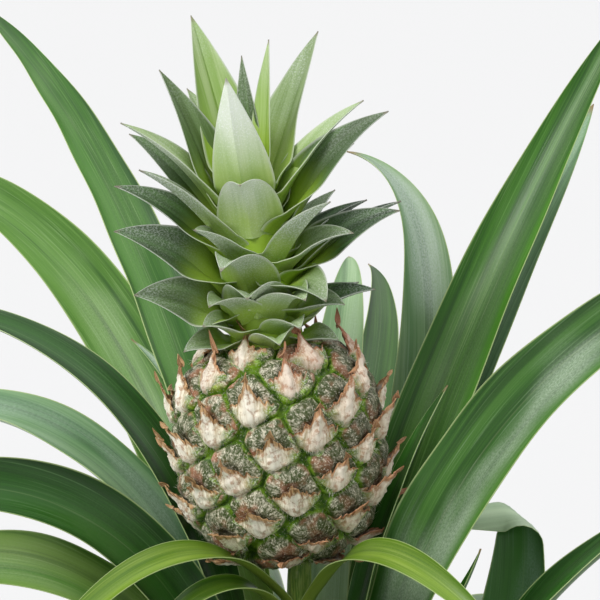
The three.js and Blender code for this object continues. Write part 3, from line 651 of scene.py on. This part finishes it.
def blade(parts, shape, foot_radius, outline, flare, seed, grid, thickness, keel=0.0, folded=0, **extra):
    """Adds one leaf blade to parts. Its margins ripple, each at its own pace."""
    rows, columns = grid
    _, _, length, width = shape[:4]
    s = np.linspace(0, 1, rows) ** BLADE["crowding"] * BLADE["end"]
    at, side, face = spine_of(shape, foot_radius, flare, s, folded)
    u = -np.cos(np.linspace(0, math.pi, columns))
    half = np.maximum(width * width_share(outline, s) / 2, BLADE["least_half"])
    grip = np.minimum(LEAF["clasp"], half / foot_radius) * (1 - smooth(s / LEAF["clasp_reach"]))
    bend = np.maximum(LEAF["cup"] * 2 * (BLADE["foot_bend"] + BLADE["tip_bend"] * s), grip)
    arc = half / bend
    middle = thickness * (1 - BLADE["tip_thinning"] * s)
    along = s * length
    free = smooth(s / BLADE["calm_reach"])
    draw = np.random.default_rng(seed)
    ripple = draw.uniform(*RIPPLE["height"]) * width
    periods = draw.uniform(*RIPPLE["period"], 2)
    starts = draw.uniform(0, 2 * math.pi, 2)
    ridge = np.maximum(0, 1 - np.abs(u) / BLADE["keel_reach"])[None, :] ** BLADE["keel_power"]
    sides = []
    for sign in (1, -1):
        depth = 0.5 * sign * middle[:, None] * (1 - BLADE["rim_thinning"] * u * u)
        reach = arc[:, None] - depth
        angle = u[None, :] * bend[:, None]
        out = reach * np.sin(angle)
        lift = arc[:, None] - reach * np.cos(angle)
        lift = lift - keel * half[:, None] * ridge * BLADE["keel_height"]
        for hand in (0, 1):
            wave = np.sin(2 * math.pi * along / periods[hand] + starts[hand])
            rim = np.clip(u if hand else -u, 0, 1) ** BLADE["rim_power"]
            lift = lift + (ripple * free * wave)[:, None] * rim[None, :] * (half / half.max())[:, None]
        sides.append(at[:, None] + side[:, None] * out[..., None] + face[:, None] * lift[..., None])
    points, faces = shell(*sides)
    parts.add(
        points, faces, upper=np.repeat([1.0, 0.0], rows * columns), share=both(s[:, None], *grid),
        side=both(u[None, :], *grid), across=both(half[:, None] * u[None, :], *grid) * MM,
        along=both(along[:, None], *grid) * MM, seed=(seed * 0.37) % 7.0, **extra,
    )


def make_leaf(row, materials, seed, slot):
    name, *shape, look = row
    _, foot, _, width = shape[:4]
    foot_radius = stem_radius(foot) + GAP + STRAP_BLADE["inset"]
    grid = STRAP_BLADE["broad_grid" if width > STRAP_BLADE["broad_over"] else "narrow_grid"]
    parts = Parts()
    blade(
        parts, shape, foot_radius, STRAP, LEAF["flare"], seed, grid, STRAP_BLADE["thickness"],
        folded=int(name == FOLD["leaf"]),
    )
    mesh = parts.mesh(name + "_fine", sharp=CREASE["blade"])
    return piece(name + "_fine", mesh, materials[look], slot, name)


def skirt_rows():
    rows = []
    for i in range(SKIRT["count"]):
        rows.append([
            f"leaf_skirt_{i + 1}", SKIRT["azimuth"] + 360 * SKIRT["turn"] * i,
            SKIRT["foot"] + SKIRT["step"] * i,
            SKIRT["length"] - SKIRT["shorter"] * (i % SKIRT["lengths"]),
            SKIRT["width"], SKIRT["rise"], SKIRT["droop"], SKIRT["power"],
            SKIRT["sway"] if i % 2 else -SKIRT["sway"], 0, SKIRT_LOOKS[i % len(SKIRT_LOOKS)],
        ])
    return rows


# ---------- fruit and crown, in the frame of the fruit's axis ----------
half_height = FRUIT["height"] / 2
lean = math.radians(FRUIT_AXIS["lean"])
fruit_x = np.array([math.cos(lean), 0, math.sin(lean)])
fruit_y = np.array([0, 1, 0])
fruit_z = np.array([-math.sin(lean), 0, math.cos(lean)])
fruit_foot = np.array([FRUIT_AXIS["x"], 0, FRUIT_AXIS["z"]]) * MM


def in_place(points):
    """Points of the fruit's own frame, with z along its axis, in the plant's frame."""
    return fruit_foot + points[:, :1] * fruit_x + points[:, 1:2] * fruit_y + points[:, 2:] * fruit_z


def barrel_power(height):
    """The barrel is blunter above its middle than below."""
    return np.where(height > 0, FRUIT["top_power"], FRUIT["bottom_power"])


def barrel_profile(angle):
    """Radius and height of the barrel at angles from its upper end."""
    rise = np.cos(angle)
    power = 2 / barrel_power(rise)
    radius = FRUIT["radius"] * np.maximum(np.sin(angle), 0) ** power
    return radius, np.sign(rise) * half_height * np.abs(rise) ** power


def on_barrel(points):
    """The points of the barrel that lie along directions from its middle."""
    power = barrel_power(points[:, 2])
    radial = (np.hypot(points[:, 0], points[:, 1]) / FRUIT["radius"]) ** power
    upright = (np.abs(points[:, 2]) / half_height) ** power
    return points * ((radial + upright) ** (-1 / power))[:, None]


def barrel_normal(points):
    power = barrel_power(points[:, 2])
    radius = np.maximum(np.hypot(points[:, 0], points[:, 1]), 1e-6)
    radial = (radius / FRUIT["radius"]) ** (power - 1) / FRUIT["radius"]
    upright = np.sign(points[:, 2]) * (np.abs(points[:, 2]) / half_height) ** (power - 1) / half_height
    return unit(np.stack([points[:, 0] / radius * radial, points[:, 1] / radius * radial, upright], 1))


def eye_centres():
    """Eyes spiral up the barrel, each with the same share of its area."""
    radius, height = barrel_profile(np.linspace(math.pi, 0, 401))
    strips = (radius[1:] + radius[:-1]) / 2 * np.hypot(np.diff(radius), np.diff(height))
    area = np.concatenate([[0], np.cumsum(strips)])
    number = np.arange(EYES["count"])
    wanted = area[-1] * (number + 0.5) / EYES["count"]
    turns = np.radians(EYES["phase"] + EYES["divergence"] * number)
    at = np.interp(wanted, area, radius)
    return np.stack([at * np.cos(turns), at * np.sin(turns), np.interp(wanted, area, height)], 1)


scatter = np.random.default_rng(SEEDS["eyes"]).uniform(-EYE_SCATTER, EYE_SCATTER, (EYES["count"], 3))
centres = on_barrel(eye_centres() + scatter)
eye_out = barrel_normal(centres)
eye_right = unit(np.cross([0, 0, 1], eye_out))
eye_up = np.cross(eye_out, eye_right)
# The eyes close to the two ends carry neither a bract nor hairs.
full_eyes = np.flatnonzero(np.hypot(centres[:, 0], centres[:, 1]) >= EYES["flat_radius"]).tolist()


def eye_place(points):
    """For points on the barrel: nearest eye, place across and up from it, distance to the cell's edge.

    What lies below an eye counts as further off, so each cell has an arched top and a narrow foot.
    """
    gaps = np.linalg.norm(points[:, None] - centres[None], axis=2)
    below = np.einsum("ek,ek->e", centres, eye_up)[None] - points @ eye_up.T
    gaps = gaps * (1 + CELL["arch"] * smooth(below / CELL["arch_reach"]))
    order = np.argpartition(gaps, 1, axis=1)
    eye = order[:, 0]
    rows = np.arange(len(points))
    first, second = gaps[rows, eye], gaps[rows, order[:, 1]]
    edge = np.minimum((second - first) * CELL["edge_share"], CELL["reach"] - first)
    spoke = points - centres[eye]
    across = np.einsum("ij,ij->i", spoke, eye_right[eye])
    climb = np.einsum("ij,ij->i", spoke, eye_up[eye])
    return eye, across, climb, edge


def relief(points, across, climb, edge):
    """How far the skin stands out of the barrel."""
    off_axis = np.hypot(points[:, 0], points[:, 1])
    flat = smooth((off_axis - EYES["flat_radius"] + EYES["flat_blend"]) / EYES["flat_blend"])
    groove = RELIEF["groove"] * (1 - smooth(edge / RELIEF["groove_width"]))
    shoulder = RELIEF["shoulder"] * smooth((edge - RELIEF["shoulder_start"]) / RELIEF["shoulder_width"])
    upper = smooth((climb + RELIEF["plump_start"]) / RELIEF["plump_rise"])
    plump = RELIEF["plump"] * smooth(edge / RELIEF["plump_width"]) * upper
    dimple = RELIEF["dimple"] * np.exp(-((across ** 2 + (climb - 1) ** 2) / RELIEF["dimple_area"]))
    return (groove + shoulder + plump + dimple) * lerp(RELIEF["at_poles"], 1, flat)


def skin(points):
    """Skin points over barrel points, with the values that the material needs."""
    eye, across, climb, edge = eye_place(points)
    height = relief(points, across, climb, edge) + rough(points, SKIN_BUMPS) * smooth(edge / 2)
    return points + barrel_normal(points) * height[:, None], eye, across, climb, edge


def make_fruit(material):
    rows, columns = FRUIT_GRID
    radius, height = barrel_profile(np.linspace(math.pi, 0, rows + 2)[1:-1])
    points, eye, across, climb, edge = skin(rings(radius, height, circle(columns)))
    points, faces = capped(points, columns, [0, 0, -half_height], [0, 0, half_height])
    pad = lambda values: np.concatenate([values, [0, 0]])
    parts = Parts()
    parts.add(
        points + [0, 0, half_height], faces, ray=pad(np.arctan2(across, climb)),
        reach=pad(np.hypot(across, climb)), seed=pad(eye * 1.7), edge=pad(edge),
        # Mask of the grooves, where painted shade darkens the skin.
        groove=pad(1 - smooth(edge / 0.9)), lower=pad(smooth((-climb - 4) / 3)),
        # Mask of the hollow above each bract, where painted shade darkens the skin, partly with the
        # hollow's own dark colour.
        hollow=pad(np.exp(-(across ** 2 / 22 + (climb - 1.5) ** 2 / 8))),
    )
    return piece("fruit_body", parts.mesh("fruit_body", in_place), material, "fruit", "fruit")


def eye_point(eye, across, climb, out):
    """Points at a place on an eye, out millimetres off the skin."""
    flat = centres[eye] + np.outer(across, eye_right[eye]) + np.outer(climb, eye_up[eye])
    at = on_barrel(flat)
    _, *near = eye_place(at)
    return at + barrel_normal(at) * (relief(at, *near) + out)[:, None]


def crown_share(eye):
    """0 on the lower fruit, 1 on the eyes at the crown's foot."""
    return float(smooth((centres[eye][2] / half_height - 0.5) / 0.35))


def make_bracts(material):
    """A bract hangs from each eye's foot: two ragged wings and a keel that climbs to a dried tip."""
    parts = Parts()
    draw = np.random.default_rng(SEEDS["bracts"])
    rows, columns = BRACT["grid"]
    w = np.linspace(-1, 1, columns)
    t = np.linspace(0, 1, rows)[:, None]
    side = np.abs(w)
    keel = np.exp(-(side / BRACT["keel_width"]) ** BRACT["keel_power"])
    margin = np.maximum(smooth((t - 0.68) / 0.32) + 0 * w, keel * smooth((t - 0.7) / 0.3))
    for eye in full_eyes:
        top = crown_share(eye)
        size = draw.uniform(*BRACT["size"])
        half = risen(BRACT, "half", top) * size
        tip = lerp(draw.uniform(*BRACT["tip"]), draw.uniform(*BRACT["top_tip"]), top)
        lift = lerp(draw.uniform(*BRACT["lift"]), draw.uniform(*BRACT["top_lift"]), top)
        skew = draw.uniform(-BRACT["skew"], BRACT["skew"])
        low = size * (BRACT["foot"] + BRACT["foot_rise"] * side ** BRACT["foot_power"])
        point = (tip - BRACT["shoulder"]) * (1 - side) ** BRACT["tip_power"]
        ragged = rough(w[:, None], RAGGED, eye, 8)
        high = BRACT["shoulder"] + point + BRACT["corner"] * side ** 3 + ragged * smooth(side * 4)
        climb = low + (high - low) * t
        across = half * w * (1 - 0.15 * t) + skew * t ** 2 * (1 - side)
        rise = lift * keel * (0.3 * np.sin(math.pi * t / 2) + 0.7 * t ** 2)
        wing = draw.uniform(*BRACT["wing"]) * t ** 3 * side ** 1.5
        belly = BRACT["belly"] * np.sin(math.pi * t) * (1 - side)
        flat = np.stack([across.ravel(), climb.ravel()], 1)
        rumple = rough(flat, RUMPLED, eye, 10).reshape(climb.shape)
        out = 0.3 - 0.9 * (1 - smooth(t * 5)) + rise + wing + belly + rumple * smooth(t * 2)
        grid = eye_point(eye, across.ravel(), climb.ravel(), out.ravel()).reshape(*out.shape, 3)
        lean_up = eye_up[eye] * (1 - top) + np.array([0, 0, 1]) * top
        grid = grid + lean_up * (rise * lerp(0.1, 0.3, top))[..., None]
        points, faces = shell(grid, grid - eye_out[eye] * BRACT["thickness"])
        # Redder and darker to the right: partly the bracts' own tint, partly painted shade away from the
        # key light.
        right = REDNESS["right"] * centres[eye][0] / FRUIT["radius"]
        high_up = REDNESS["low"] * centres[eye][2] / half_height * (1 - top)
        red = REDNESS["least"] + right + REDNESS["top"] * top - high_up
        red = float(np.clip(red + draw.uniform(-REDNESS["scatter"], REDNESS["scatter"]), 0, 1))
        parts.add(
            points + [0, 0, half_height], faces, fibre=both(w, *BRACT["grid"]),
            # The keel mask carries the painted highlight along the keel.
            climb=both(t, *BRACT["grid"]), keel=both(keel ** 0.6, *BRACT["grid"]),
            rim=both(margin, *BRACT["grid"]), seed=eye * 1.3, red=red,
        )
        sway = eye_right[eye] * draw.normal() * 0.35
        outward = unit(eye_out[eye] * lerp(1, 0.45, top) + lean_up * lerp(0.75, 0.9, top) + sway)
        start = grid[-1, columns // 2] - outward * AWN["sunk"]
        add_awn(parts, draw, eye, start, outward, lean_up, risen(AWN, "length", top), red)
    mesh = parts.mesh("fruit_bracts", in_place, sharp=CREASE["bract"])
    return piece("fruit_bracts", mesh, material, "fruit")


def add_awn(parts, draw, eye, start, ahead, curl, length, red):
    """The dried tip of a bract: a narrow ribbon that twists and curls."""
    steps, ribs = AWN["grid"]
    length = length * draw.uniform(*AWN["spread"])
    width = draw.uniform(*AWN["width"])
    twist = draw.uniform(-AWN["twist"], AWN["twist"])
    bend = draw.uniform(*AWN["bend"])
    v = np.linspace(0, 1, steps)
    k = np.linspace(-1, 1, ribs)
    path = start + ahead * (v * length)[:, None] + curl * (bend * length * 0.45 * v ** 2)[:, None]
    path = path + eye_right[eye] * (draw.normal() * length * 0.18 * v ** 2)[:, None]
    tangent = unit(np.gradient(path, axis=0))
    across = unit(eye_right[eye] - tangent * (tangent @ eye_right[eye])[:, None])
    normal = np.cross(tangent, across)
    angle = (twist * v)[:, None]
    side = across * np.cos(angle) + normal * np.sin(angle)
    face = normal * np.cos(angle) - across * np.sin(angle)
    half = width * (1 - v ** 1.6) * 0.5 + 0.08
    fold = 0.35 * half[:, None] * (1 - np.abs(k))[None, :]
    grid = path[:, None] + side[:, None] * (half[:, None] * k)[..., None]
    grid = grid + face[:, None] * fold[..., None]
    points, faces = shell(grid, grid - face[:, None] * AWN["thickness"])
    v = v[:, None]
    parts.add(
        points + [0, 0, half_height], faces, fibre=both(k, steps, ribs), climb=both(v, steps, ribs) + 1,
        keel=0, rim=both(0.75 + 0.25 * v, steps, ribs), seed=eye * 2.1 + 3, red=red,
    )


def make_wool(material):
    """Short pale hairs: they fan out over an eye's upper half, and hang from the foot of its bract."""
    parts = Parts()
    draw = np.random.default_rng(SEEDS["wool"])
    upper, lower = WOOL["upper"], WOOL["lower"]
    count = upper + lower
    above = np.where(np.arange(count) < upper, WOOL["upper_root"], WOOL["lower_root"])
    for eye in full_eyes:
        rising = draw.uniform(-WOOL["upper_fan"], WOOL["upper_fan"], upper)
        hanging = math.pi + draw.uniform(-WOOL["lower_fan"], WOOL["lower_fan"], lower)
        angle = np.concatenate([rising, hanging])
        near = draw.uniform(*WOOL["upper_radius"], upper)
        radius = np.concatenate([near, draw.uniform(*WOOL["lower_radius"], lower)])
        roots = eye_point(eye, radius * np.sin(angle), radius * np.cos(angle), above)
        away = eye_right[eye] * np.sin(angle)[:, None] + eye_up[eye] * np.cos(angle)[:, None]
        lean_out = eye_out[eye] * draw.uniform(*WOOL["lean"], count)[:, None]
        ahead = unit(away + lean_out + draw.normal(size=(count, 3)) * WOOL["stray"])
        tips = roots + ahead * draw.uniform(*WOOL["length"], count)[:, None]
        right = unit(np.cross(ahead, eye_out[eye])) * WOOL["thickness"]
        out = np.cross(right, ahead)
        points = np.stack([roots - right, roots + right, roots + out, tips], 1).reshape(-1, 3)
        faces = []
        for a in range(0, 4 * count, 4):
            faces += [(a, a + 1, a + 3), (a + 1, a + 2, a + 3), (a + 2, a, a + 3), (a, a + 2, a + 1)]
        parts.add(points + [0, 0, half_height], faces)
    return piece("fruit_wool", parts.mesh("fruit_wool", in_place), material, "fruit")


def crown_core_radius(z):
    if z < CROWN["height"]:
        return lerp(CROWN["base_radius"], CROWN["top_radius"], z / CROWN["height"])
    share = (z - CROWN["height"]) / (CROWN["apex_height"] - CROWN["height"])
    return lerp(CROWN["top_radius"], CROWN["apex_radius"], share)


def crown_rows():
    rows = list(CROWN_LEAVES)
    for i in range(CROWN_BACK["count"]):
        share = i / (CROWN_BACK["count"] - 1)
        foot, length, rise, age, silver = [
            risen(CROWN_BACK, name, share) for name in ("foot", "length", "rise", "age", "silver")
        ]
        azimuth = lerp(CROWN_BACK["first"], CROWN_BACK["last"], (i * CROWN_BACK["golden"]) % 1)
        bent = rise - CROWN_BACK["bend"]
        rows.append([azimuth, foot, length, CROWN_BACK["width"], rise, bent, 0, age, silver])
    return rows


def make_crown(material):
    parts = Parts()
    rows, columns = CORE_GRID
    heights = np.append(np.linspace(0, CROWN["height"], rows), CROWN["apex_height"])
    radii = np.array([crown_core_radius(z) for z in heights])
    core = rings(radii, heights, circle(columns))
    faces = grid_faces(rows + 1, columns, wrap=True)
    faces += [tuple(range(columns))[::-1], tuple(range(len(core) - columns, len(core)))]
    look = dict(upper=1, share=0.1, side=0, across=0, seed=0, age=0.4, silver=0.1)
    parts.add(core, faces, along=core[:, 2] * MM, **look)
    for i, row in enumerate(crown_rows()):
        azimuth, foot, length, width, rise, tip_rise, roll, age, silver = row
        shape = [azimuth, foot, length, width, rise, tip_rise, CROWN["leaf_power"], 0, roll]
        blade(
            parts, shape, crown_core_radius(foot) - CROWN_BLADE["sunk"], SHEATH, 0, SEEDS["crown"] + i,
            CROWN_BLADE["grid"], CROWN_BLADE["thickness"], CROWN_BLADE["keel"], age=age, silver=silver,
        )
    raised = lambda points: in_place(points + np.array([0, 0, (FRUIT["height"] + GAP) * MM]))
    mesh = parts.mesh("crown_fine", raised, sharp=CREASE["blade"])
    return piece("crown_fine", mesh, material, "crown", "crown")


# ---------- pot, potting mix and stem ----------
def lathe(parts, profile, sides, **values):
    """Adds a closed body of revolution whose profile starts and ends on the axis."""
    radii, heights = np.array(profile[1:-1], float).T
    ends = [0, 0, profile[0][1]], [0, 0, profile[-1][1]]
    points, faces = capped(rings(radii, heights, circle(sides)), sides, *ends)
    parts.add(points, faces, **values)


def rounded(corners, radius, steps=5):
    """A profile with its corners rounded: each corner is (radius, height)."""
    path = []
    corners = [np.array(c, float) for c in corners]
    for before, corner, after in zip(corners, corners[1:], corners[2:]):
        back, ahead = unit(before - corner), unit(after - corner)
        cut = min(radius, np.linalg.norm(before - corner) * 0.45, np.linalg.norm(after - corner) * 0.45)
        for share in np.linspace(0, 1, steps):
            start, end = corner + back * cut, corner + ahead * cut
            path.append(lerp(lerp(start, corner, share), lerp(corner, end, share), share).tolist())
    return [corners[0].tolist(), *path, corners[-1].tolist()]


def pot_outer(z):
    slope = (POT["rim_radius"] - POT["lip"] - POT["base_radius"]) / POT["height"]
    return POT["base_radius"] + slope * z


def make_pot(material):
    height, wall, floor = POT["height"], POT["wall"], POT["floor"]
    rim_foot = height - POT["rim_height"]
    inner = lambda z: pot_outer(z) - wall
    recess = POT_FOOT["recess"]
    corners = [
        (0, recess), (pot_outer(0) - POT_FOOT["inner"], recess), (pot_outer(0) - POT_FOOT["outer"], 0),
        (pot_outer(0), 0), (pot_outer(rim_foot), rim_foot), (POT["rim_radius"], rim_foot),
        (POT["rim_radius"], height), (POT["rim_radius"] - wall, height), (inner(rim_foot), rim_foot),
        (inner(floor), floor), (0, floor),
    ]
    parts = Parts()
    lathe(parts, rounded(corners, POT_ROUNDING), POT_SIDES)
    made = piece("pot_moulded", parts.mesh("pot_moulded", sharp=CREASE["pot"]), material, "pot", "pot")
    radius, low, high = DRAINS["radius"], DRILL["low"], DRILL["high"]
    cutters = Parts()
    for i in range(DRAINS["count"]):
        place = polar(DRAINS["circle"], 360 * i / DRAINS["count"], 0)
        drill = Parts()
        lathe(drill, [(0, low), (radius, low), (radius, high), (0, high)], DRILL["sides"])
        cutters.add(drill.points[0] + place, drill.faces)
    cutter = put("drain_cutter", cutters.mesh("drain_cutter"))
    cut = made.modifiers.new("drains", "BOOLEAN")
    cut.operation, cut.solver, cut.object = "DIFFERENCE", "EXACT", cutter
    bpy.context.view_layer.update()
    evaluated = made.evaluated_get(bpy.context.evaluated_depsgraph_get())
    finished = bpy.data.meshes.new_from_object(evaluated)
    made.modifiers.clear()
    made.data = finished
    bpy.data.objects.remove(cutter)
    finished.set_sharp_from_angle(angle=math.radians(CREASE["pot"]))
    return made


def add_crumb(parts, draw, at, size, kind):
    """A rough crumb: a squashed ball with uneven sides."""
    rows, columns = CRUMBS["grid"]
    angle = np.linspace(0, math.pi, rows + 2)[1:-1]
    ball = rings(np.sin(angle), np.cos(angle), circle(columns))
    ball, faces = capped(ball, columns, [0, 0, 1], [0, 0, -1])
    ball = ball * draw.uniform(*CRUMBS["uneven"], (len(ball), 1))
    turned, _ = np.linalg.qr(draw.normal(size=(3, 3)))
    shape = np.array([1, draw.uniform(*CRUMBS["breadth"]), draw.uniform(*CRUMBS["height"])])
    parts.add(at + (ball * shape * size) @ turned, faces, kind=kind)


def soil_height(x, y):
    flat = np.stack([np.ravel(x), np.ravel(y)], 1)
    return SOIL_TOP + rough(flat, SOIL_LUMPS).reshape(np.shape(x))


def make_soil(material):
    wall = pot_outer(SOIL_TOP) - POT["wall"] - GAP
    hole = stem_radius(SOIL_TOP) + GAP
    bottom = POT["floor"] + GAP
    hole_foot = STEM["foot"] - GAP
    top_rings, sides = SOIL_GRID
    profile = [
        (0, bottom), (pot_outer(bottom) - POT["wall"] - GAP, bottom),
        *[(radius, SOIL_TOP) for radius in np.linspace(wall, hole, top_rings)],
        (STEM["foot_radius"] + GAP, hole_foot), (0, hole_foot),
    ]
    parts = Parts()
    lathe(parts, profile, sides, kind=0)
    points = parts.points[0]
    radius = np.hypot(points[:, 0], points[:, 1])
    on_top = np.abs(points[:, 2] - SOIL_TOP) < 0.01
    edge = smooth((wall - radius) / 4) * smooth((radius - hole) / 2)
    raised = soil_height(points[:, 0], points[:, 1])
    points[:, 2] = np.where(on_top, lerp(points[:, 2], raised, edge), points[:, 2])
    draw = np.random.default_rng(SEEDS["crumbs"])
    for _ in range(CRUMBS["count"]):
        radius = math.sqrt(draw.uniform((hole + 3) ** 2, (wall - 4) ** 2))
        turn = draw.uniform(0, 2 * math.pi)
        x, y = radius * math.cos(turn), radius * math.sin(turn)
        kind = draw.choice(CRUMBS["kinds"], p=CRUMBS["shares"])
        size = draw.uniform(*CRUMBS["bark" if kind == 1 else "size"])
        z = float(soil_height(np.array([x]), np.array([y]))[0]) + size * CRUMBS["raised"]
        add_crumb(parts, draw, np.array([x, y, z]), size, kind)
    mesh = parts.mesh("soil_crumbs", sharp=CREASE["crumb"])
    return piece("soil_crumbs", mesh, material, "soil", "soil")


def make_stem(material):
    rows, sides = STEM_GRID
    heights = np.linspace(STEM["foot"], STALK["top"], rows)
    profile = [(0, STEM["foot"]), *[(stem_radius(z), z) for z in heights], (0, STALK["top"])]
    parts = Parts()
    lathe(parts, profile, sides)
    points = parts.points[0]
    turn = np.arctan2(points[:, 1], points[:, 0])
    wave = np.cos(turn * STEM_RIBS["count"] + points[:, 2] * STEM_RIBS["twist"])
    points[:, :2] *= (1 - STEM_RIBS["depth"] * (1 + wave))[:, None]
    parts.values["around"] = [np.cos(turn)]
    parts.values["climb"] = [points[:, 2].copy()]
    return piece("stem_ribbed", parts.mesh("stem_ribbed"), material, "stem", "stem_and_stalk")


# ---------- stage, light and camera ----------
TARGET_HEIGHT = 0.395
CAMERA = dict(distance=1.3, elevation=8.0, lens=195.0, sensor=36.0, near=0.05, far=200)
FLOOR_SIZE = 80.0
FLOOR_COLOUR = "#dadada"
BACKGROUND = "#f4f4f4"
SKY_COLOUR = (0.97, 0.98, 1.0, 1)
# The sky's strength by height of the direction: lowest, highest, and the strength at each.
SKY = {"From Min": -0.1, "From Max": 0.95, "To Min": 0.32, "To Max": 1.0}
# name: (direction towards it, strength, angle it takes up, colour)
SUNS = {
    "key": ((-0.62, -0.62, 0.85), 1.9, 28, (1.0, 0.985, 0.96)),
    "fill": ((0.75, 0.1, 0.8), 0.35, 60, (0.97, 0.98, 1.0)),
}


def make_floor():
    half = FLOOR_SIZE / 2
    mesh = bpy.data.meshes.new("floor")
    corners = [(-half, -half, 0), (half, -half, 0), (half, half, 0), (-half, half, 0)]
    mesh.from_pydata(corners, [], [(0, 1, 2, 3)])
    paint = Shader("floor_paint", base_color=srgb(FLOOR_COLOUR), roughness=0.9, specular_ior_level=0.1)
    mesh.materials.append(paint.material)
    put("floor", mesh)


def make_world():
    """Even pale surroundings, brighter overhead, and the plain background that the camera sees."""
    world = bpy.data.worlds.new("studio")
    bpy.context.scene.world = world
    world.use_nodes = True
    tree = world.node_tree
    tree.nodes.clear()
    new = lambda kind: tree.nodes.new("ShaderNode" + kind)
    place, split, ramp = new("TexCoord"), new("SeparateXYZ"), new("MapRange")
    light, seen, path = new("Background"), new("Background"), new("LightPath")
    mixed, output = new("MixShader"), new("OutputWorld")
    ramp.interpolation_type = "SMOOTHSTEP"
    for key, value in SKY.items():
        ramp.inputs[key].default_value = value
    light.inputs["Color"].default_value = SKY_COLOUR
    seen.inputs["Color"].default_value = srgb(BACKGROUND)
    for start, end in (
        (place.outputs["Generated"], split.inputs[0]),
        (split.outputs["Z"], ramp.inputs["Value"]),
        (ramp.outputs[0], light.inputs["Strength"]),
        (path.outputs["Is Camera Ray"], mixed.inputs[0]),
        (light.outputs[0], mixed.inputs[1]),
        (seen.outputs[0], mixed.inputs[2]),
        (mixed.outputs[0], output.inputs[0]),
    ):
        tree.links.new(start, end)


def make_sun(name, towards, strength, angle, colour):
    """A soft sun that shines from a direction."""
    light = bpy.data.lights.new(name, "SUN")
    light.energy, light.angle, light.color = strength, math.radians(angle), colour
    x, y, z = towards
    put(name, light).rotation_euler = (0, math.atan2(math.hypot(x, y), z), math.atan2(y, x))


def make_camera():
    data = bpy.data.cameras.new("camera")
    data.lens, data.sensor_width = CAMERA["lens"], CAMERA["sensor"]
    data.clip_start, data.clip_end = CAMERA["near"], CAMERA["far"]
    camera = put("camera", data)
    tilt = math.radians(CAMERA["elevation"])
    distance = CAMERA["distance"]
    camera.location = (0, -distance * math.cos(tilt), TARGET_HEIGHT + distance * math.sin(tilt))
    camera.rotation_euler = (math.radians(90) - tilt, 0, 0)
    bpy.context.scene.camera = camera


# ---------- the whole scene ----------
make_camera()
make_floor()
make_world()
for name, sun in SUNS.items():
    make_sun(name, *sun)
bpy.context.scene.view_settings.view_transform = "Standard"

leaf_materials = {name: leaf_material("leaf_" + name, look) for name, look in LOOKS.items()}
for number, row in enumerate(ROSETTE + skirt_rows()):
    make_leaf(row, leaf_materials, SEEDS["leaf"] + number, "leaf")
for number, row in enumerate(STALK_LEAVES):
    make_leaf(row, leaf_materials, SEEDS["stalk_leaf"] + number, "stalk_leaf")
make_fruit(fruit_material())
make_bracts(bract_material())
make_wool(wool_material())
make_crown(crown_material())
make_pot(pot_material())
make_soil(soil_material())
make_stem(stem_material())
